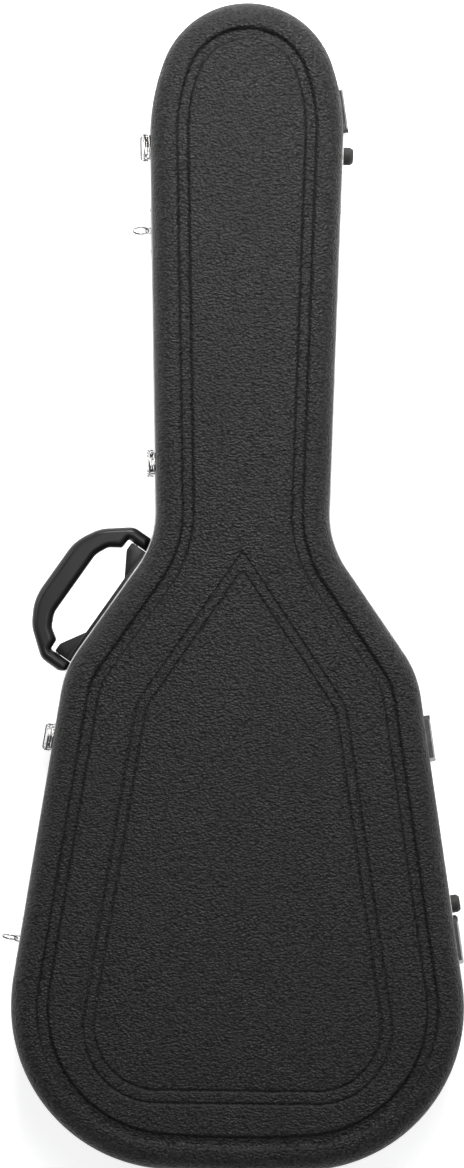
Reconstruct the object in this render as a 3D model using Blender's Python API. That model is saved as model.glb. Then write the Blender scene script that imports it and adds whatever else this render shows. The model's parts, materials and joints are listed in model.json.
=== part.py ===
"""Hard guitar case, lying on its back.

Metres, +Z up. The origin is on the centre line, half-way along the case, on the flat back that it lies on.
+Y points to the head end, and the hinges are on the +X flank.
"""
import math

import bmesh
import bpy
from mathutils import Matrix, Vector

# Case outline, right half. Angles are the outward normal's, in degrees from +X.
HALF_LENGTH = 0.5625
HEAD_RADIUS = 0.0865
HEAD_EASE_RADIUS = 0.1985
HEAD_EASE_ANGLE = 20.0
NECK_ANGLE = -1.47
FLARE_ANGLE = 34.8
SIDE_ANGLE = 8.85
SHOULDER = (0.1702, -0.0805)
WAIST_RADIUS = 0.090
SHOULDER_RADIUS = 0.100
CORNER_RADIUS = 0.157
CORNER_Y = -0.4033

# Section of the case.
BASE_DEPTH = 0.098
LID_DEPTH = 0.052
PART_Z = BASE_DEPTH
GAP = 0.0003
SHELL_WALL = 0.003
RIM_HEIGHT = 0.0047
RIM_PROUD = 0.0009
RIM_WIDTH = 0.011

# Lining.
LINING = 0.002
WELL_FLOOR = 0.016
CHANNEL_FLOOR = 0.046
CHANNEL_HALF_WIDTH = 0.058
CHANNEL_END_Y = 0.5255
LINING_TOP = 0.0972
POCKET_HALF_WIDTH = 0.052
POCKET_Y = (0.156, 0.228)
POCKET_FLOOR = 0.018
NECK_REST_Y = (0.285, 0.325)
NECK_REST_TOP = 0.082

# Hinges: one straight axis along the right flank, at the height of the parting plane.
HINGE_LINE = (Vector((0.0945, 0.4620, PART_Z)), Vector((0.2145, -0.3386, PART_Z)))
HINGE_Y = {"head": 0.4630, "shoulder": -0.1435, "bout": -0.3386}
HINGE_LENGTH = 0.045
HINGE_MIDDLE_KNUCKLE = 0.015
HINGE_LEAF_HEIGHT = 0.018
HINGE_LEAF_FACE = 0.0002
HINGE_LEAF_DEPTH = 0.010
HINGE_LEAF_EDGE = 0.0006
HINGE_LEAF_CHAMFER = 0.0012
HINGE_CORNER_CUT = 0.006
KNUCKLE_RADIUS = 0.0015
HINGE_BORE_RADIUS = 0.0010
HINGE_PIN_RADIUS = 0.0007

# Latches, on the left flank.
LATCH_Y = {"head": 0.4265, "neck": 0.1200, "body": -0.1480}
LATCH_PIN_OUT = 0.0060
LATCH_PIN_DROP = 0.0080
LATCH_PIN_RADIUS = 0.0011
LATCH_BORE_RADIUS = 0.0014
LATCH_EAR_RADIUS = 0.0026
LATCH_EARS = (0.0094, 0.0108)
LATCH_PLATE_HALF_WIDTH = 0.0120
LATCH_PLATE_Z = (-0.0380, -0.0052)
FITTING_PLATE = 0.0014
LEVER_HALF_WIDTH = 0.0130
LEVER_WALL = 0.0013
LEVER_EYE_RADIUS = 0.0029
LEVER_TOP = -0.0118
HOOK_HALF_WIDTH = 0.0088
HOOK_THICKNESS = 0.0014
HOOK_EYE_RADIUS = 0.0023
HOOK_MIDDLE = 0.0058
HOOK_LIP_Z = (0.0110, 0.0125)
KEEPER_HALF_WIDTH = 0.0090
SPRING_RADIUS = 0.0022
SPRING_HALF_LENGTH = 0.0054

# Handle, on the left flare.
HANDLE_ALONG = 0.0803
HANDLE_PIN_OUT = 0.015
HANDLE_Z = 0.076
HANDLE_THICKNESS = 0.019
HANDLE_ROUND_SIDE = 0.0058
HANDLE_ROUND_HEIGHT = 0.0080
HANDLE_LEAST_RADIUS = 0.0005
HANDLE_PIN_RADIUS = 0.0024
HANDLE_PIN_ALONG = (0.0560, 0.0745)
HANDLE_FOOT_ALONG = (0.0655, 0.0785)
UPPER_FOOT_TURN = ((0.0650, 0.0132), (0.0765, 0.0102), (0.0790, 0.0082))
LOWER_FOOT_TURN = ((0.0650, 0.0152), (0.0715, 0.0162), (0.0745, 0.0156), (0.0768, 0.0128), (0.0790, 0.0085))
BRACKET_HALF_LENGTH = 0.0640
BRACKET_Z = (-0.0150, 0.0160)
BRACKET_THICKNESS = 0.0045
WEDGE_HALF_HEIGHT = 0.0060

# Strap rings, on the left flank: height along the case, and the angle at which the ring stands.
RINGS = {"upper": (0.3470, 0.0), "lower": (-0.3446, 0.0)}
RING_TILT = 20.0
RING_RADIUS = 0.0074
RING_WIRE_RADIUS = 0.0008
RING_EYE_OUT = 0.0039
RING_Z = 0.080
RING_PLATE_HALF_LENGTH = 0.028
RING_PLATE_HALF_HEIGHT = 0.0055
RING_PLATE_THICKNESS = 0.0016

# Rubber feet, on the right flank.
FOOT_Y = {"upper": 0.4250, "lower": -0.3092}
FOOT_Z = 0.050
FOOT_RADIUS = 0.00875
FOOT_HEIGHT = 0.0118
FOOT_RECESS_RADIUS = 0.0042
FOOT_RECESS_DEPTH = 0.0035
FOOT_SCREW_RADIUS = 0.0016

COLOURS = {
    "shell_plastic": ((0.035, 0.035, 0.036), 0.55, 0.0),
    "rim_aluminium": ((0.78, 0.79, 0.80), 0.35, 1.0),
    "foam": ((0.60, 0.56, 0.44), 0.95, 0.0),
    "plush": ((0.10, 0.10, 0.11), 0.95, 0.0),
    "chrome": ((0.82, 0.82, 0.84), 0.15, 1.0),
    "steel": ((0.60, 0.60, 0.62), 0.30, 1.0),
    "handle_plastic": ((0.030, 0.030, 0.032), 0.45, 0.0),
    "rubber": ((0.020, 0.020, 0.020), 0.80, 0.0),
}


# ---------------------------------------------------------------------------------------- helpers

def clear_scene():
    for old in list(bpy.data.objects):
        bpy.data.objects.remove(old, do_unlink=True)


def make_material(name):
    colour, roughness, metallic = COLOURS[name]
    material = bpy.data.materials.new(name)
    material.use_nodes = True
    shader = material.node_tree.nodes["Principled BSDF"]
    shader.inputs["Base Color"].default_value = (*colour, 1.0)
    shader.inputs["Roughness"].default_value = roughness
    shader.inputs["Metallic"].default_value = metallic
    return material


def add_object(name, bm, material=None, frame=None):
    """Turn a bmesh into an object, with its faces pointing out."""
    bmesh.ops.recalc_face_normals(bm, faces=bm.faces)
    mesh = bpy.data.meshes.new(name)
    bm.to_mesh(mesh)
    bm.free()
    obj = bpy.data.objects.new(name, mesh)
    bpy.context.scene.collection.objects.link(obj)
    if material:
        mesh.materials.append(bpy.data.materials.get(material) or make_material(material))
        mesh.shade_smooth()
        mesh.set_sharp_from_angle(angle=math.radians(35))
    if frame is not None:
        obj.matrix_world = frame
    return obj


def combine(obj, tool, operation="DIFFERENCE"):
    """Join a tool to an object, or cut it away, and remove the tool."""
    modifier = obj.modifiers.new("combine", "BOOLEAN")
    modifier.operation = operation
    modifier.solver = "EXACT"
    modifier.object = tool
    bpy.context.view_layer.update()
    graph = bpy.context.evaluated_depsgraph_get()
    mesh = bpy.data.meshes.new_from_object(obj.evaluated_get(graph))
    obj.modifiers.remove(modifier)
    obj.data = mesh
    bpy.data.objects.remove(tool, do_unlink=True)
    return obj


def prism(points, low, high, plane="xy"):
    """Extrude a closed outline from low to high along the axis that its plane leaves out."""
    place = {
        "xy": lambda a, b, c: (a, b, c),
        "xz": lambda a, b, c: (a, c, b),
        "yz": lambda a, b, c: (c, a, b),
    }[plane]
    bm = bmesh.new()
    bottom = [bm.verts.new(place(a, b, low)) for a, b in points]
    top = [bm.verts.new(place(a, b, high)) for a, b in points]
    caps = [bm.faces.new(bottom), bm.faces.new(top)]
    for i in range(len(points)):
        j = (i + 1) % len(points)
        bm.faces.new((bottom[i], bottom[j], top[j], top[i]))
    bm.normal_update()
    bmesh.ops.triangulate(bm, faces=caps)
    return bm


def box(low, high):
    corners = [(low[0], low[1]), (high[0], low[1]), (high[0], high[1]), (low[0], high[1])]
    return prism(corners, low[2], high[2])


def arc(centre, radius, start, end, steps):
    """Points on an arc, from start to end in degrees."""
    points = []
    for i in range(steps + 1):
        angle = math.radians(start + (end - start) * i / steps)
        points.append((centre[0] + radius * math.cos(angle), centre[1] + radius * math.sin(angle)))
    return points


def rounded(corners, steps=4):
    """A closed outline with each corner (x, y, radius) rounded."""
    points = []
    count = len(corners)
    for i, (x, y, radius) in enumerate(corners):
        here = Vector((x, y))
        before = (Vector(corners[i - 1][:2]) - here).normalized()
        after = (Vector(corners[(i + 1) % count][:2]) - here).normalized()
        if radius == 0:
            points.append((x, y))
            continue
        half = before.angle(after) / 2
        reach = radius / math.tan(half)
        centre = here + (before + after).normalized() * radius / math.sin(half)
        first = here + before * reach - centre
        last = here + after * reach - centre
        turn = first.angle_signed(last)
        for k in range(steps + 1):
            spoke = Matrix.Rotation(-turn * k / steps, 2) @ first
            points.append(tuple(centre + spoke))
    return points


def cylinder(radius, low, high, axis="z", at=(0.0, 0.0), sides=16):
    """A round bar along an axis. at is its centre in the other two axes, in X, Y, Z order."""
    plane = {"z": "xy", "y": "xz", "x": "yz"}[axis]
    return prism(arc(at, radius, 0, 360 - 360 / sides, sides - 1), low, high, plane)


def loft(rings, section=False):
    """A solid through rings of equal count. A section closes on itself, other lofts are capped."""
    bm = bmesh.new()
    rows = [[bm.verts.new(point) for point in ring] for ring in rings]
    count = len(rows[0])
    pairs = list(zip(rows, rows[1:]))
    if section:
        pairs.append((rows[-1], rows[0]))
    for lower, upper in pairs:
        for i in range(count):
            j = (i + 1) % count
            bm.faces.new((lower[i], lower[j], upper[j], upper[i]))
    if not section:
        caps = [bm.faces.new(rows[0]), bm.faces.new(rows[-1])]
        bm.normal_update()
        bmesh.ops.triangulate(bm, faces=caps)
    return bm


# ---------------------------------------------------------------------------------------- outline

def normal_of(angle):
    return Vector((math.cos(math.radians(angle)), math.sin(math.radians(angle))))


def line_offset(angle, point):
    return normal_of(angle).dot(Vector(point))


def crossing(angle_a, offset_a, angle_b, offset_b):
    """The point that lies at both offsets along the two normals."""
    a = normal_of(angle_a)
    b = normal_of(angle_b)
    det = a.x * b.y - a.y * b.x
    return Vector(((offset_a * b.y - offset_b * a.y) / det, (a.x * offset_b - b.x * offset_a) / det))


def outline_arcs():
    """The right half's arcs: centre, radius, start angle, end angle, steps. A radius below 0 is hollow."""
    head = Vector((0.0, HALF_LENGTH - HEAD_RADIUS))
    ease = head + normal_of(HEAD_EASE_ANGLE) * (HEAD_RADIUS - HEAD_EASE_RADIUS)
    neck = line_offset(NECK_ANGLE, ease) + HEAD_EASE_RADIUS
    flare = line_offset(FLARE_ANGLE, SHOULDER)
    side = line_offset(SIDE_ANGLE, SHOULDER)
    waist = crossing(NECK_ANGLE, neck + WAIST_RADIUS, FLARE_ANGLE, flare + WAIST_RADIUS)
    shoulder = crossing(FLARE_ANGLE, flare - SHOULDER_RADIUS, SIDE_ANGLE, side - SHOULDER_RADIUS)
    slope = normal_of(SIDE_ANGLE)
    corner = Vector(((side - CORNER_RADIUS - slope.y * CORNER_Y) / slope.x, CORNER_Y))
    rise = corner.y + HALF_LENGTH
    end_radius = (corner.x ** 2 + rise ** 2 - CORNER_RADIUS ** 2) / (2 * (rise - CORNER_RADIUS))
    end = Vector((0.0, end_radius - HALF_LENGTH))
    end_angle = math.degrees(math.atan2(corner.y - end.y, corner.x))
    return [
        (head, HEAD_RADIUS, 90.0, HEAD_EASE_ANGLE, 5),
        (ease, HEAD_EASE_RADIUS, HEAD_EASE_ANGLE, NECK_ANGLE, 3),
        (waist, -WAIST_RADIUS, NECK_ANGLE, FLARE_ANGLE, 4),
        (shoulder, SHOULDER_RADIUS, FLARE_ANGLE, SIDE_ANGLE, 3),
        (corner, CORNER_RADIUS, SIDE_ANGLE, 0.0, 1),
        (corner, CORNER_RADIUS, 0.0, end_angle, 6),
        (end, end_radius, end_angle, -90.0, 1),
    ]


def case_outline(inset=0.0):
    """The closed outline, moved in by inset."""
    half = []
    for centre, radius, start, end, steps in outline_arcs():
        for point in arc(centre, radius - inset, start, end, steps):
            if not half or (Vector(point) - Vector(half[-1])).length > 1e-7:
                half.append(point)
    half[0] = (0.0, half[0][1])
    half[-1] = (0.0, half[-1][1])
    return half + [(-x, y) for x, y in reversed(half[1:-1])]


def case_ring(inset, z):
    return [(x, y, z) for x, y in case_outline(inset)]


def flank_point(y):
    """The right flank's point and outward angle, on the straight neck or the straight side."""
    arcs = outline_arcs()
    if y > 0:
        angle = NECK_ANGLE
        offset = line_offset(angle, arcs[1][0]) + HEAD_EASE_RADIUS
    else:
        angle = SIDE_ANGLE
        offset = line_offset(angle, SHOULDER)
    normal = normal_of(angle)
    return Vector(((offset - normal.y * y) / normal.x, y)), angle


def standing_frame(point, outward, z):
    """A frame at a point: X points outward, Z up, Y along the rim."""
    out = Vector((outward.x, outward.y, 0.0))
    up = Vector((0.0, 0.0, 1.0))
    along = up.cross(out)
    frame = Matrix((out, along, up)).transposed().to_4x4()
    frame.translation = Vector((point.x, point.y, z))
    return frame


def flank_frame(side, y, z):
    point, angle = flank_point(y)
    outward = normal_of(angle)
    return standing_frame(Vector((side * point.x, y)), Vector((side * outward.x, outward.y)), z)


def trim_to_case(obj):
    """Cut an outside fitting back to the case's flank, leaving the usual gap."""
    low_edge = PART_Z - RIM_HEIGHT - 2 * GAP
    high_edge = PART_Z + RIM_HEIGHT + 2 * GAP
    rings = [
        case_ring(0.0012 - GAP, 0.015),
        case_ring(0.0004 - GAP, low_edge),
        case_ring(-RIM_PROUD - GAP, low_edge),
        case_ring(-RIM_PROUD - GAP, high_edge),
        case_ring(0.0004 - GAP, high_edge),
        case_ring(0.0010 - GAP, PART_Z + 0.034),
    ]
    return combine(obj, add_object("case_body_cutter", loft(rings)))


# ---------------------------------------------------------------------------------------- shells

def shell_rings(depth):
    """Insets and heights over the parting plane, from the middle of the outside to that of the inside."""
    edge = RIM_HEIGHT + GAP
    outside = [
        (0.0390, depth - 0.0004),
        (0.0365, depth - 0.0034),
        (0.0290, depth - 0.0034),
        (0.0262, depth - 0.0004),
        (0.0200, depth),
        (0.0080, depth - 0.0055),
        (0.0010, depth - 0.0210),
        (0.0004, edge),
    ]
    inside = [
        (0.0004 + SHELL_WALL, edge),
        (0.0010 + SHELL_WALL, depth - 0.0220),
        (0.0105, depth - 0.0085),
        (0.0210, depth - 0.0064),
    ]
    return outside + inside


def make_shells():
    lid = [case_ring(inset, PART_Z + height) for inset, height in shell_rings(LID_DEPTH)]
    add_object("lid_shell", loft(lid), "shell_plastic")
    base = [list(case_ring(inset, PART_Z - height)) for inset, height in shell_rings(BASE_DEPTH)]
    flat_back = [[(x, y, 0.0 if z < 0.0005 else z) for x, y, z in ring] for ring in base]
    add_object("base_shell", loft(flat_back), "shell_plastic")


def make_rims():
    """The two aluminium extrusions that meet at the parting plane."""
    for name, way in (("lid_rim", 1), ("base_rim", -1)):
        corners = [(-RIM_PROUD, GAP / 2), (RIM_WIDTH, GAP / 2), (RIM_WIDTH, RIM_HEIGHT), (-RIM_PROUD, RIM_HEIGHT)]
        rings = [case_ring(inset, PART_Z + way * height) for inset, height in corners]
        add_object(name, loft(rings, section=True), "rim_aluminium")


# ---------------------------------------------------------------------------------------- lining

def guitar_outline(grow=0.0, steps=3):
    """The well for the guitar's body: a smooth curve through its widest and narrowest places."""
    knots = [(0.000, -0.535), (0.095, -0.528), (0.170, -0.470), (0.187, -0.385), (0.162, -0.295), (0.128, -0.225),
             (0.131, -0.160), (0.145, -0.115), (0.122, -0.066), (0.060, -0.050), (0.000, -0.048)]
    count = len(knots)
    half = []
    for i in range(count - 1):
        p0 = Vector(knots[i - 1]) if i else Vector((-knots[1][0], knots[1][1]))
        p1 = Vector(knots[i])
        p2 = Vector(knots[i + 1])
        p3 = Vector(knots[i + 2]) if i + 2 < count else Vector((-knots[-2][0], knots[-2][1]))
        for k in range(steps):
            t = k / steps
            half.append(0.5 * (2 * p1 + (p2 - p0) * t + (2 * p0 - 5 * p1 + 4 * p2 - p3) * t ** 2
                               + (3 * p1 - p0 - 3 * p2 + p3) * t ** 3))
    half.append(Vector(knots[-1]))
    loop = half + [Vector((-p.x, p.y)) for p in reversed(half[1:-1])]
    grown = []
    for i, here in enumerate(loop):
        along = (loop[(i + 1) % len(loop)] - loop[i - 1]).normalized()
        grown.append(tuple(here + Vector((along.y, -along.x)) * grow))
    return grown


def well_solids(grow, top):
    """The hollow of the base, grown by an amount: guitar's body, neck channel and accessory pocket."""
    body = add_object("well_body", prism(guitar_outline(grow), WELL_FLOOR - grow, top))
    width = CHANNEL_HALF_WIDTH + grow
    end_y = CHANNEL_END_Y + grow
    channel = [(-width, -0.090, 0), (width, -0.090, 0), (width, end_y, width * 0.94), (-width, end_y, width * 0.94)]
    neck = add_object("well_neck", prism(rounded(channel, 6), CHANNEL_FLOOR - grow, top + 0.001))
    pocket_low = (-POCKET_HALF_WIDTH - grow, POCKET_Y[0] - grow, POCKET_FLOOR - grow)
    pocket_high = (POCKET_HALF_WIDTH + grow, POCKET_Y[1] + grow, CHANNEL_FLOOR + 0.003)
    pocket = add_object("well_pocket", box(pocket_low, pocket_high))
    return [body, neck, pocket]


def make_base_lining():
    foam_rings = [
        case_ring(0.0210, 0.0067),
        case_ring(0.0110, 0.0092),
        case_ring(0.0052, 0.0230),
        case_ring(0.0048, PART_Z - RIM_HEIGHT - GAP),
    ]
    foam = add_object("base_foam", loft(foam_rings), "foam")
    for tool in well_solids(LINING + GAP, PART_Z + 0.002):
        combine(foam, tool)

    lining_low = PART_Z - RIM_HEIGHT
    skin = [case_ring(RIM_WIDTH + GAP, lining_low), case_ring(RIM_WIDTH + GAP, LINING_TOP)]
    lining = add_object("base_lining", loft(skin), "plush")
    for tool in well_solids(LINING, lining_low + 0.001):
        combine(lining, tool, "UNION")
    for tool in well_solids(0.0, PART_Z + 0.002):
        combine(lining, tool)


def make_lid_lining():
    foam_rings = [
        case_ring(0.0210, PART_Z + 0.0453),
        case_ring(0.0110, PART_Z + 0.0432),
        case_ring(0.0052, PART_Z + 0.0295),
        case_ring(0.0048, PART_Z + RIM_HEIGHT + GAP),
        case_ring(0.0218, PART_Z + RIM_HEIGHT + GAP),
        case_ring(0.0240, PART_Z + 0.0352),
        case_ring(0.0335, PART_Z + 0.0422),
    ]
    add_object("lid_foam", loft(foam_rings), "foam")
    lining_rings = [
        case_ring(0.0340, PART_Z + 0.0418),
        case_ring(0.0245, PART_Z + 0.0348),
        case_ring(0.0223, PART_Z + RIM_HEIGHT),
        case_ring(RIM_WIDTH + GAP, PART_Z + RIM_HEIGHT),
        case_ring(RIM_WIDTH + GAP, PART_Z + 0.0008),
        case_ring(0.0240, PART_Z + 0.0008),
        case_ring(0.0256, PART_Z + 0.0040),
        case_ring(0.0270, PART_Z + 0.0340),
        case_ring(0.0350, PART_Z + 0.0395),
    ]
    add_object("lid_lining", loft(lining_rings), "plush")


def make_inner_fittings():
    low_y, high_y = NECK_REST_Y
    width = CHANNEL_HALF_WIDTH - GAP
    floor = CHANNEL_FLOOR + GAP
    notch = 0.030
    cradle = [(-width, floor, 0), (width, floor, 0), (width, NECK_REST_TOP, 0.004), (notch, NECK_REST_TOP, 0.004),
              (0.020, NECK_REST_TOP - 0.024, 0.012), (-0.020, NECK_REST_TOP - 0.024, 0.012),
              (-notch, NECK_REST_TOP, 0.004), (-width, NECK_REST_TOP, 0.004)]
    add_object("neck_rest", prism(rounded(cradle), low_y, high_y, "xz"), "plush")

    lid_low = (-POCKET_HALF_WIDTH - 0.003, POCKET_Y[0] - 0.004, floor)
    lid_high = (POCKET_HALF_WIDTH + 0.003, POCKET_Y[1] + 0.004, floor + 0.0055)
    axis_y = lid_high[1]
    axis_z = lid_high[2]
    lid = box([a - b for a, b in zip(lid_low, (0, axis_y, axis_z))],
              [a - b for a, b in zip(lid_high, (0, axis_y, axis_z))])
    add_object("pocket_lid", lid, "plush", Matrix.Translation((0, axis_y, axis_z)))
    tape = box((-0.045, axis_y + 0.0012, floor), (0.045, axis_y + 0.0132, floor + 0.0012))
    add_object("pocket_hinge_tape", tape, "plush")
    tab_top = lid_high[2] + GAP
    tab = box((-0.009, lid_low[1] - 0.003, tab_top), (0.009, lid_low[1] + 0.014, tab_top + 0.0015))
    add_object("pocket_pull_tab", tab, "plush")


# ---------------------------------------------------------------------------------------- hinges

def hinge_frame(y):
    """A frame on the hinge axis: X outward, Y along the axis, Z up."""
    start, end = HINGE_LINE
    along = (start - end).normalized()
    at = end + along * ((y - end.y) / along.y)
    return standing_frame(at.xy, Vector((along.y, -along.x)), PART_Z)


def hinge_leaf(name, frame, way, cut_spans):
    """A leaf on the lid (way 1) or the base (way -1), cut away where the other leaf's knuckles sit."""
    half = HINGE_LENGTH / 2
    face = HINGE_LEAF_FACE
    bevel = HINGE_LEAF_CHAMFER
    strap = [(-HINGE_LEAF_DEPTH, way * HINGE_LEAF_EDGE), (face, way * HINGE_LEAF_EDGE),
             (face, way * (HINGE_LEAF_HEIGHT - bevel)), (face - bevel, way * HINGE_LEAF_HEIGHT),
             (-HINGE_LEAF_DEPTH, way * HINGE_LEAF_HEIGHT)]
    leaf = add_object(name, prism(strap, -half, half, "xz"), "chrome", frame)
    barrel = cylinder(KNUCKLE_RADIUS, -half + 0.0002, half - 0.0002, "y")
    combine(leaf, add_object("barrel", barrel, frame=frame), "UNION")
    bore = cylinder(HINGE_BORE_RADIUS, -half - 0.001, half + 0.001, "y")
    combine(leaf, add_object("bore", bore, frame=frame))
    clear = KNUCKLE_RADIUS + 0.0005
    for low, high in cut_spans:
        slot = box((-2 * clear, low - GAP, -clear), (2 * clear, high + GAP, clear))
        combine(leaf, add_object("slot", slot, frame=frame))
    top = HINGE_LEAF_HEIGHT + 0.001
    for side in (-1, 1):
        notch = [(side * (half + 0.001), way * (top - HINGE_CORNER_CUT)), (side * (half + 0.001), way * top),
                 (side * (half + 0.001 - HINGE_CORNER_CUT), way * top)]
        combine(leaf, add_object("notch", prism(notch, -HINGE_LEAF_DEPTH - 0.001, 0.003, "yz"), frame=frame))
    return trim_to_case(leaf)


def make_hinges():
    half = HINGE_LENGTH / 2
    inner = HINGE_MIDDLE_KNUCKLE / 2
    for place, y in HINGE_Y.items():
        frame = hinge_frame(y)
        hinge_leaf(place + "_hinge_lid_leaf", frame, 1, [(-inner, inner)])
        hinge_leaf(place + "_hinge_base_leaf", frame, -1, [(-half - 0.002, -inner - GAP), (inner + GAP, half + 0.002)])
        pin = cylinder(HINGE_PIN_RADIUS, -half, half, "y", sides=12)
        add_object(place + "_hinge_pin", pin, "steel", frame)


# ---------------------------------------------------------------------------------------- latches

def latch_eye(radius, start, end):
    """Part of a circle round the lever pin, seen along the rim."""
    return arc((LATCH_PIN_OUT, -LATCH_PIN_DROP), radius, start, end, 6)


def drill_latch(obj, frame):
    bore = cylinder(LATCH_BORE_RADIUS, -0.020, 0.020, "y", (LATCH_PIN_OUT, -LATCH_PIN_DROP), 12)
    return combine(obj, add_object("bore", bore, frame=frame))


def latch_plate(name, frame):
    low, high = LATCH_PLATE_Z
    plate = box((-0.002, -LATCH_PLATE_HALF_WIDTH, low), (FITTING_PLATE, LATCH_PLATE_HALF_WIDTH, high))
    plate = add_object(name, plate, "chrome", frame)
    ear = [(0.0002, high - 0.0004), (0.0002, -0.0180), (0.0016, -0.0180)] + latch_eye(LATCH_EAR_RADIUS, -50, 90)
    for side in (-1, 1):
        inner, outer = sorted(side * edge for edge in LATCH_EARS)
        combine(plate, add_object("ear", prism(ear, inner, outer, "xz"), frame=frame), "UNION")
    drill_latch(plate, frame)
    return trim_to_case(plate)


def latch_lever(name, frame):
    """A channel, open towards the case, that hangs from the pin."""
    wide = LEVER_HALF_WIDTH
    inside = LEVER_HALF_WIDTH - LEVER_WALL
    side_view = [(0.0105, -0.0400), (0.0095, -0.0420), (0.0024, -0.0400), (0.0024, -0.0200)]
    side_view += latch_eye(LEVER_EYE_RADIUS, 190, 20) + [(0.0105, LEVER_TOP)]
    lever = add_object(name, prism(side_view, -wide, wide, "xz"), "chrome", frame)
    web = 0.0105 - LEVER_WALL
    hollow = box((-0.001, -inside, -0.0440), (web, inside, 0.0))
    combine(lever, add_object("hollow", hollow, frame=frame))
    above = box((web - 0.001, -inside, LEVER_TOP), (0.0120, inside, 0.0))
    combine(lever, add_object("above", above, frame=frame))
    return drill_latch(lever, frame)


def latch_hook(name, frame):
    """A strap with an inward lip over the keeper and two eyes on the pin."""
    inner = LATCH_PIN_OUT - HOOK_THICKNESS / 2
    outer = LATCH_PIN_OUT + HOOK_THICKNESS / 2
    low, high = HOOK_LIP_Z
    profile = [(inner, -0.0060), (inner, low), (0.0041, low), (0.0041, high), (outer - 0.0006, high),
               (outer, high - 0.0006), (outer, -0.0060)]
    hook = add_object(name, prism(profile, -HOOK_HALF_WIDTH, HOOK_HALF_WIDTH, "xz"), "chrome", frame)
    eye_half = HOOK_HALF_WIDTH - 0.0002
    eye = cylinder(HOOK_EYE_RADIUS, -eye_half, eye_half, "y", (LATCH_PIN_OUT, -LATCH_PIN_DROP), 14)
    combine(hook, add_object("eye", eye, frame=frame), "UNION")
    middle = box((0.0, -HOOK_MIDDLE, -0.0120), (0.010, HOOK_MIDDLE, -0.0046))
    combine(hook, add_object("middle", middle, frame=frame))
    return drill_latch(hook, frame)


def latch_keeper(name, frame):
    """A plate with a turned-up ledge, under the hook's lip."""
    face = FITTING_PLATE
    profile = [(-0.0020, 0.0056), (face, 0.0056), (face, 0.0070), (0.0037, 0.0070), (0.0037, 0.0102),
               (0.0029, 0.0102), (0.0029, 0.0084), (face, 0.0084), (face, 0.0215), (-0.0020, 0.0215)]
    keeper = add_object(name, prism(profile, -KEEPER_HALF_WIDTH, KEEPER_HALF_WIDTH, "xz"), "chrome", frame)
    return trim_to_case(keeper)


def make_latches():
    pin_at = (LATCH_PIN_OUT, -LATCH_PIN_DROP)
    for place, y in LATCH_Y.items():
        frame = flank_frame(-1, y, PART_Z)
        latch_plate(place + "_latch_plate", frame)
        latch_lever(place + "_latch_lever", frame)
        latch_hook(place + "_latch_hook", frame)
        latch_keeper(place + "_latch_keeper", frame)
        pin_half = LEVER_HALF_WIDTH - 0.0002
        pin = cylinder(LATCH_PIN_RADIUS, -pin_half, pin_half, "y", pin_at, 12)
        add_object(place + "_latch_pin", pin, "steel", frame)
        spring = cylinder(SPRING_RADIUS, -SPRING_HALF_LENGTH, SPRING_HALF_LENGTH, "y", pin_at, 12)
        spring = add_object(place + "_latch_spring", spring, "steel", frame)
        drill_latch(spring, frame)


# ---------------------------------------------------------------------------------------- handle

def handle_frame():
    """A frame at the handle's foot on the left flare: X outward, Y along the flare."""
    waist = outline_arcs()[2][0]
    flare = line_offset(FLARE_ANGLE, SHOULDER)
    neck = line_offset(NECK_ANGLE, waist) - WAIST_RADIUS
    start = crossing(NECK_ANGLE, neck, FLARE_ANGLE, flare)
    out = normal_of(FLARE_ANGLE)
    at = start + Vector((out.y, -out.x)) * HANDLE_ALONG
    return standing_frame(Vector((-at.x, at.y)), Vector((-out.x, out.y)), HANDLE_Z)


def inset_corners(corners, inset):
    """A clockwise outline's corners (x, y, radius), moved in by inset, with radii that keep it parallel."""
    moved = []
    count = len(corners)
    for i, (x, y, radius) in enumerate(corners):
        here = Vector((x, y))
        before = (here - Vector(corners[i - 1][:2])).normalized()
        after = (Vector(corners[(i + 1) % count][:2]) - here).normalized()
        inward = Vector((before.y, -before.x)) + Vector((after.y, -after.x))
        point = here + inward * inset / (1 + before.dot(after))
        hollow = before.cross(after) > 0
        if hollow:
            moved.append((point.x, point.y, radius + inset))
        else:
            moved.append((point.x, point.y, max(radius - inset, HANDLE_LEAST_RADIUS)))
    return moved


def mirrored(corners):
    """A side view with its other half: (along, out, radius) turned into (out, along, radius)."""
    near = [(out, along, radius) for along, out, radius in corners]
    far = [(out, -along, radius) for along, out, radius in reversed(corners)]
    return near + far


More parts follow.
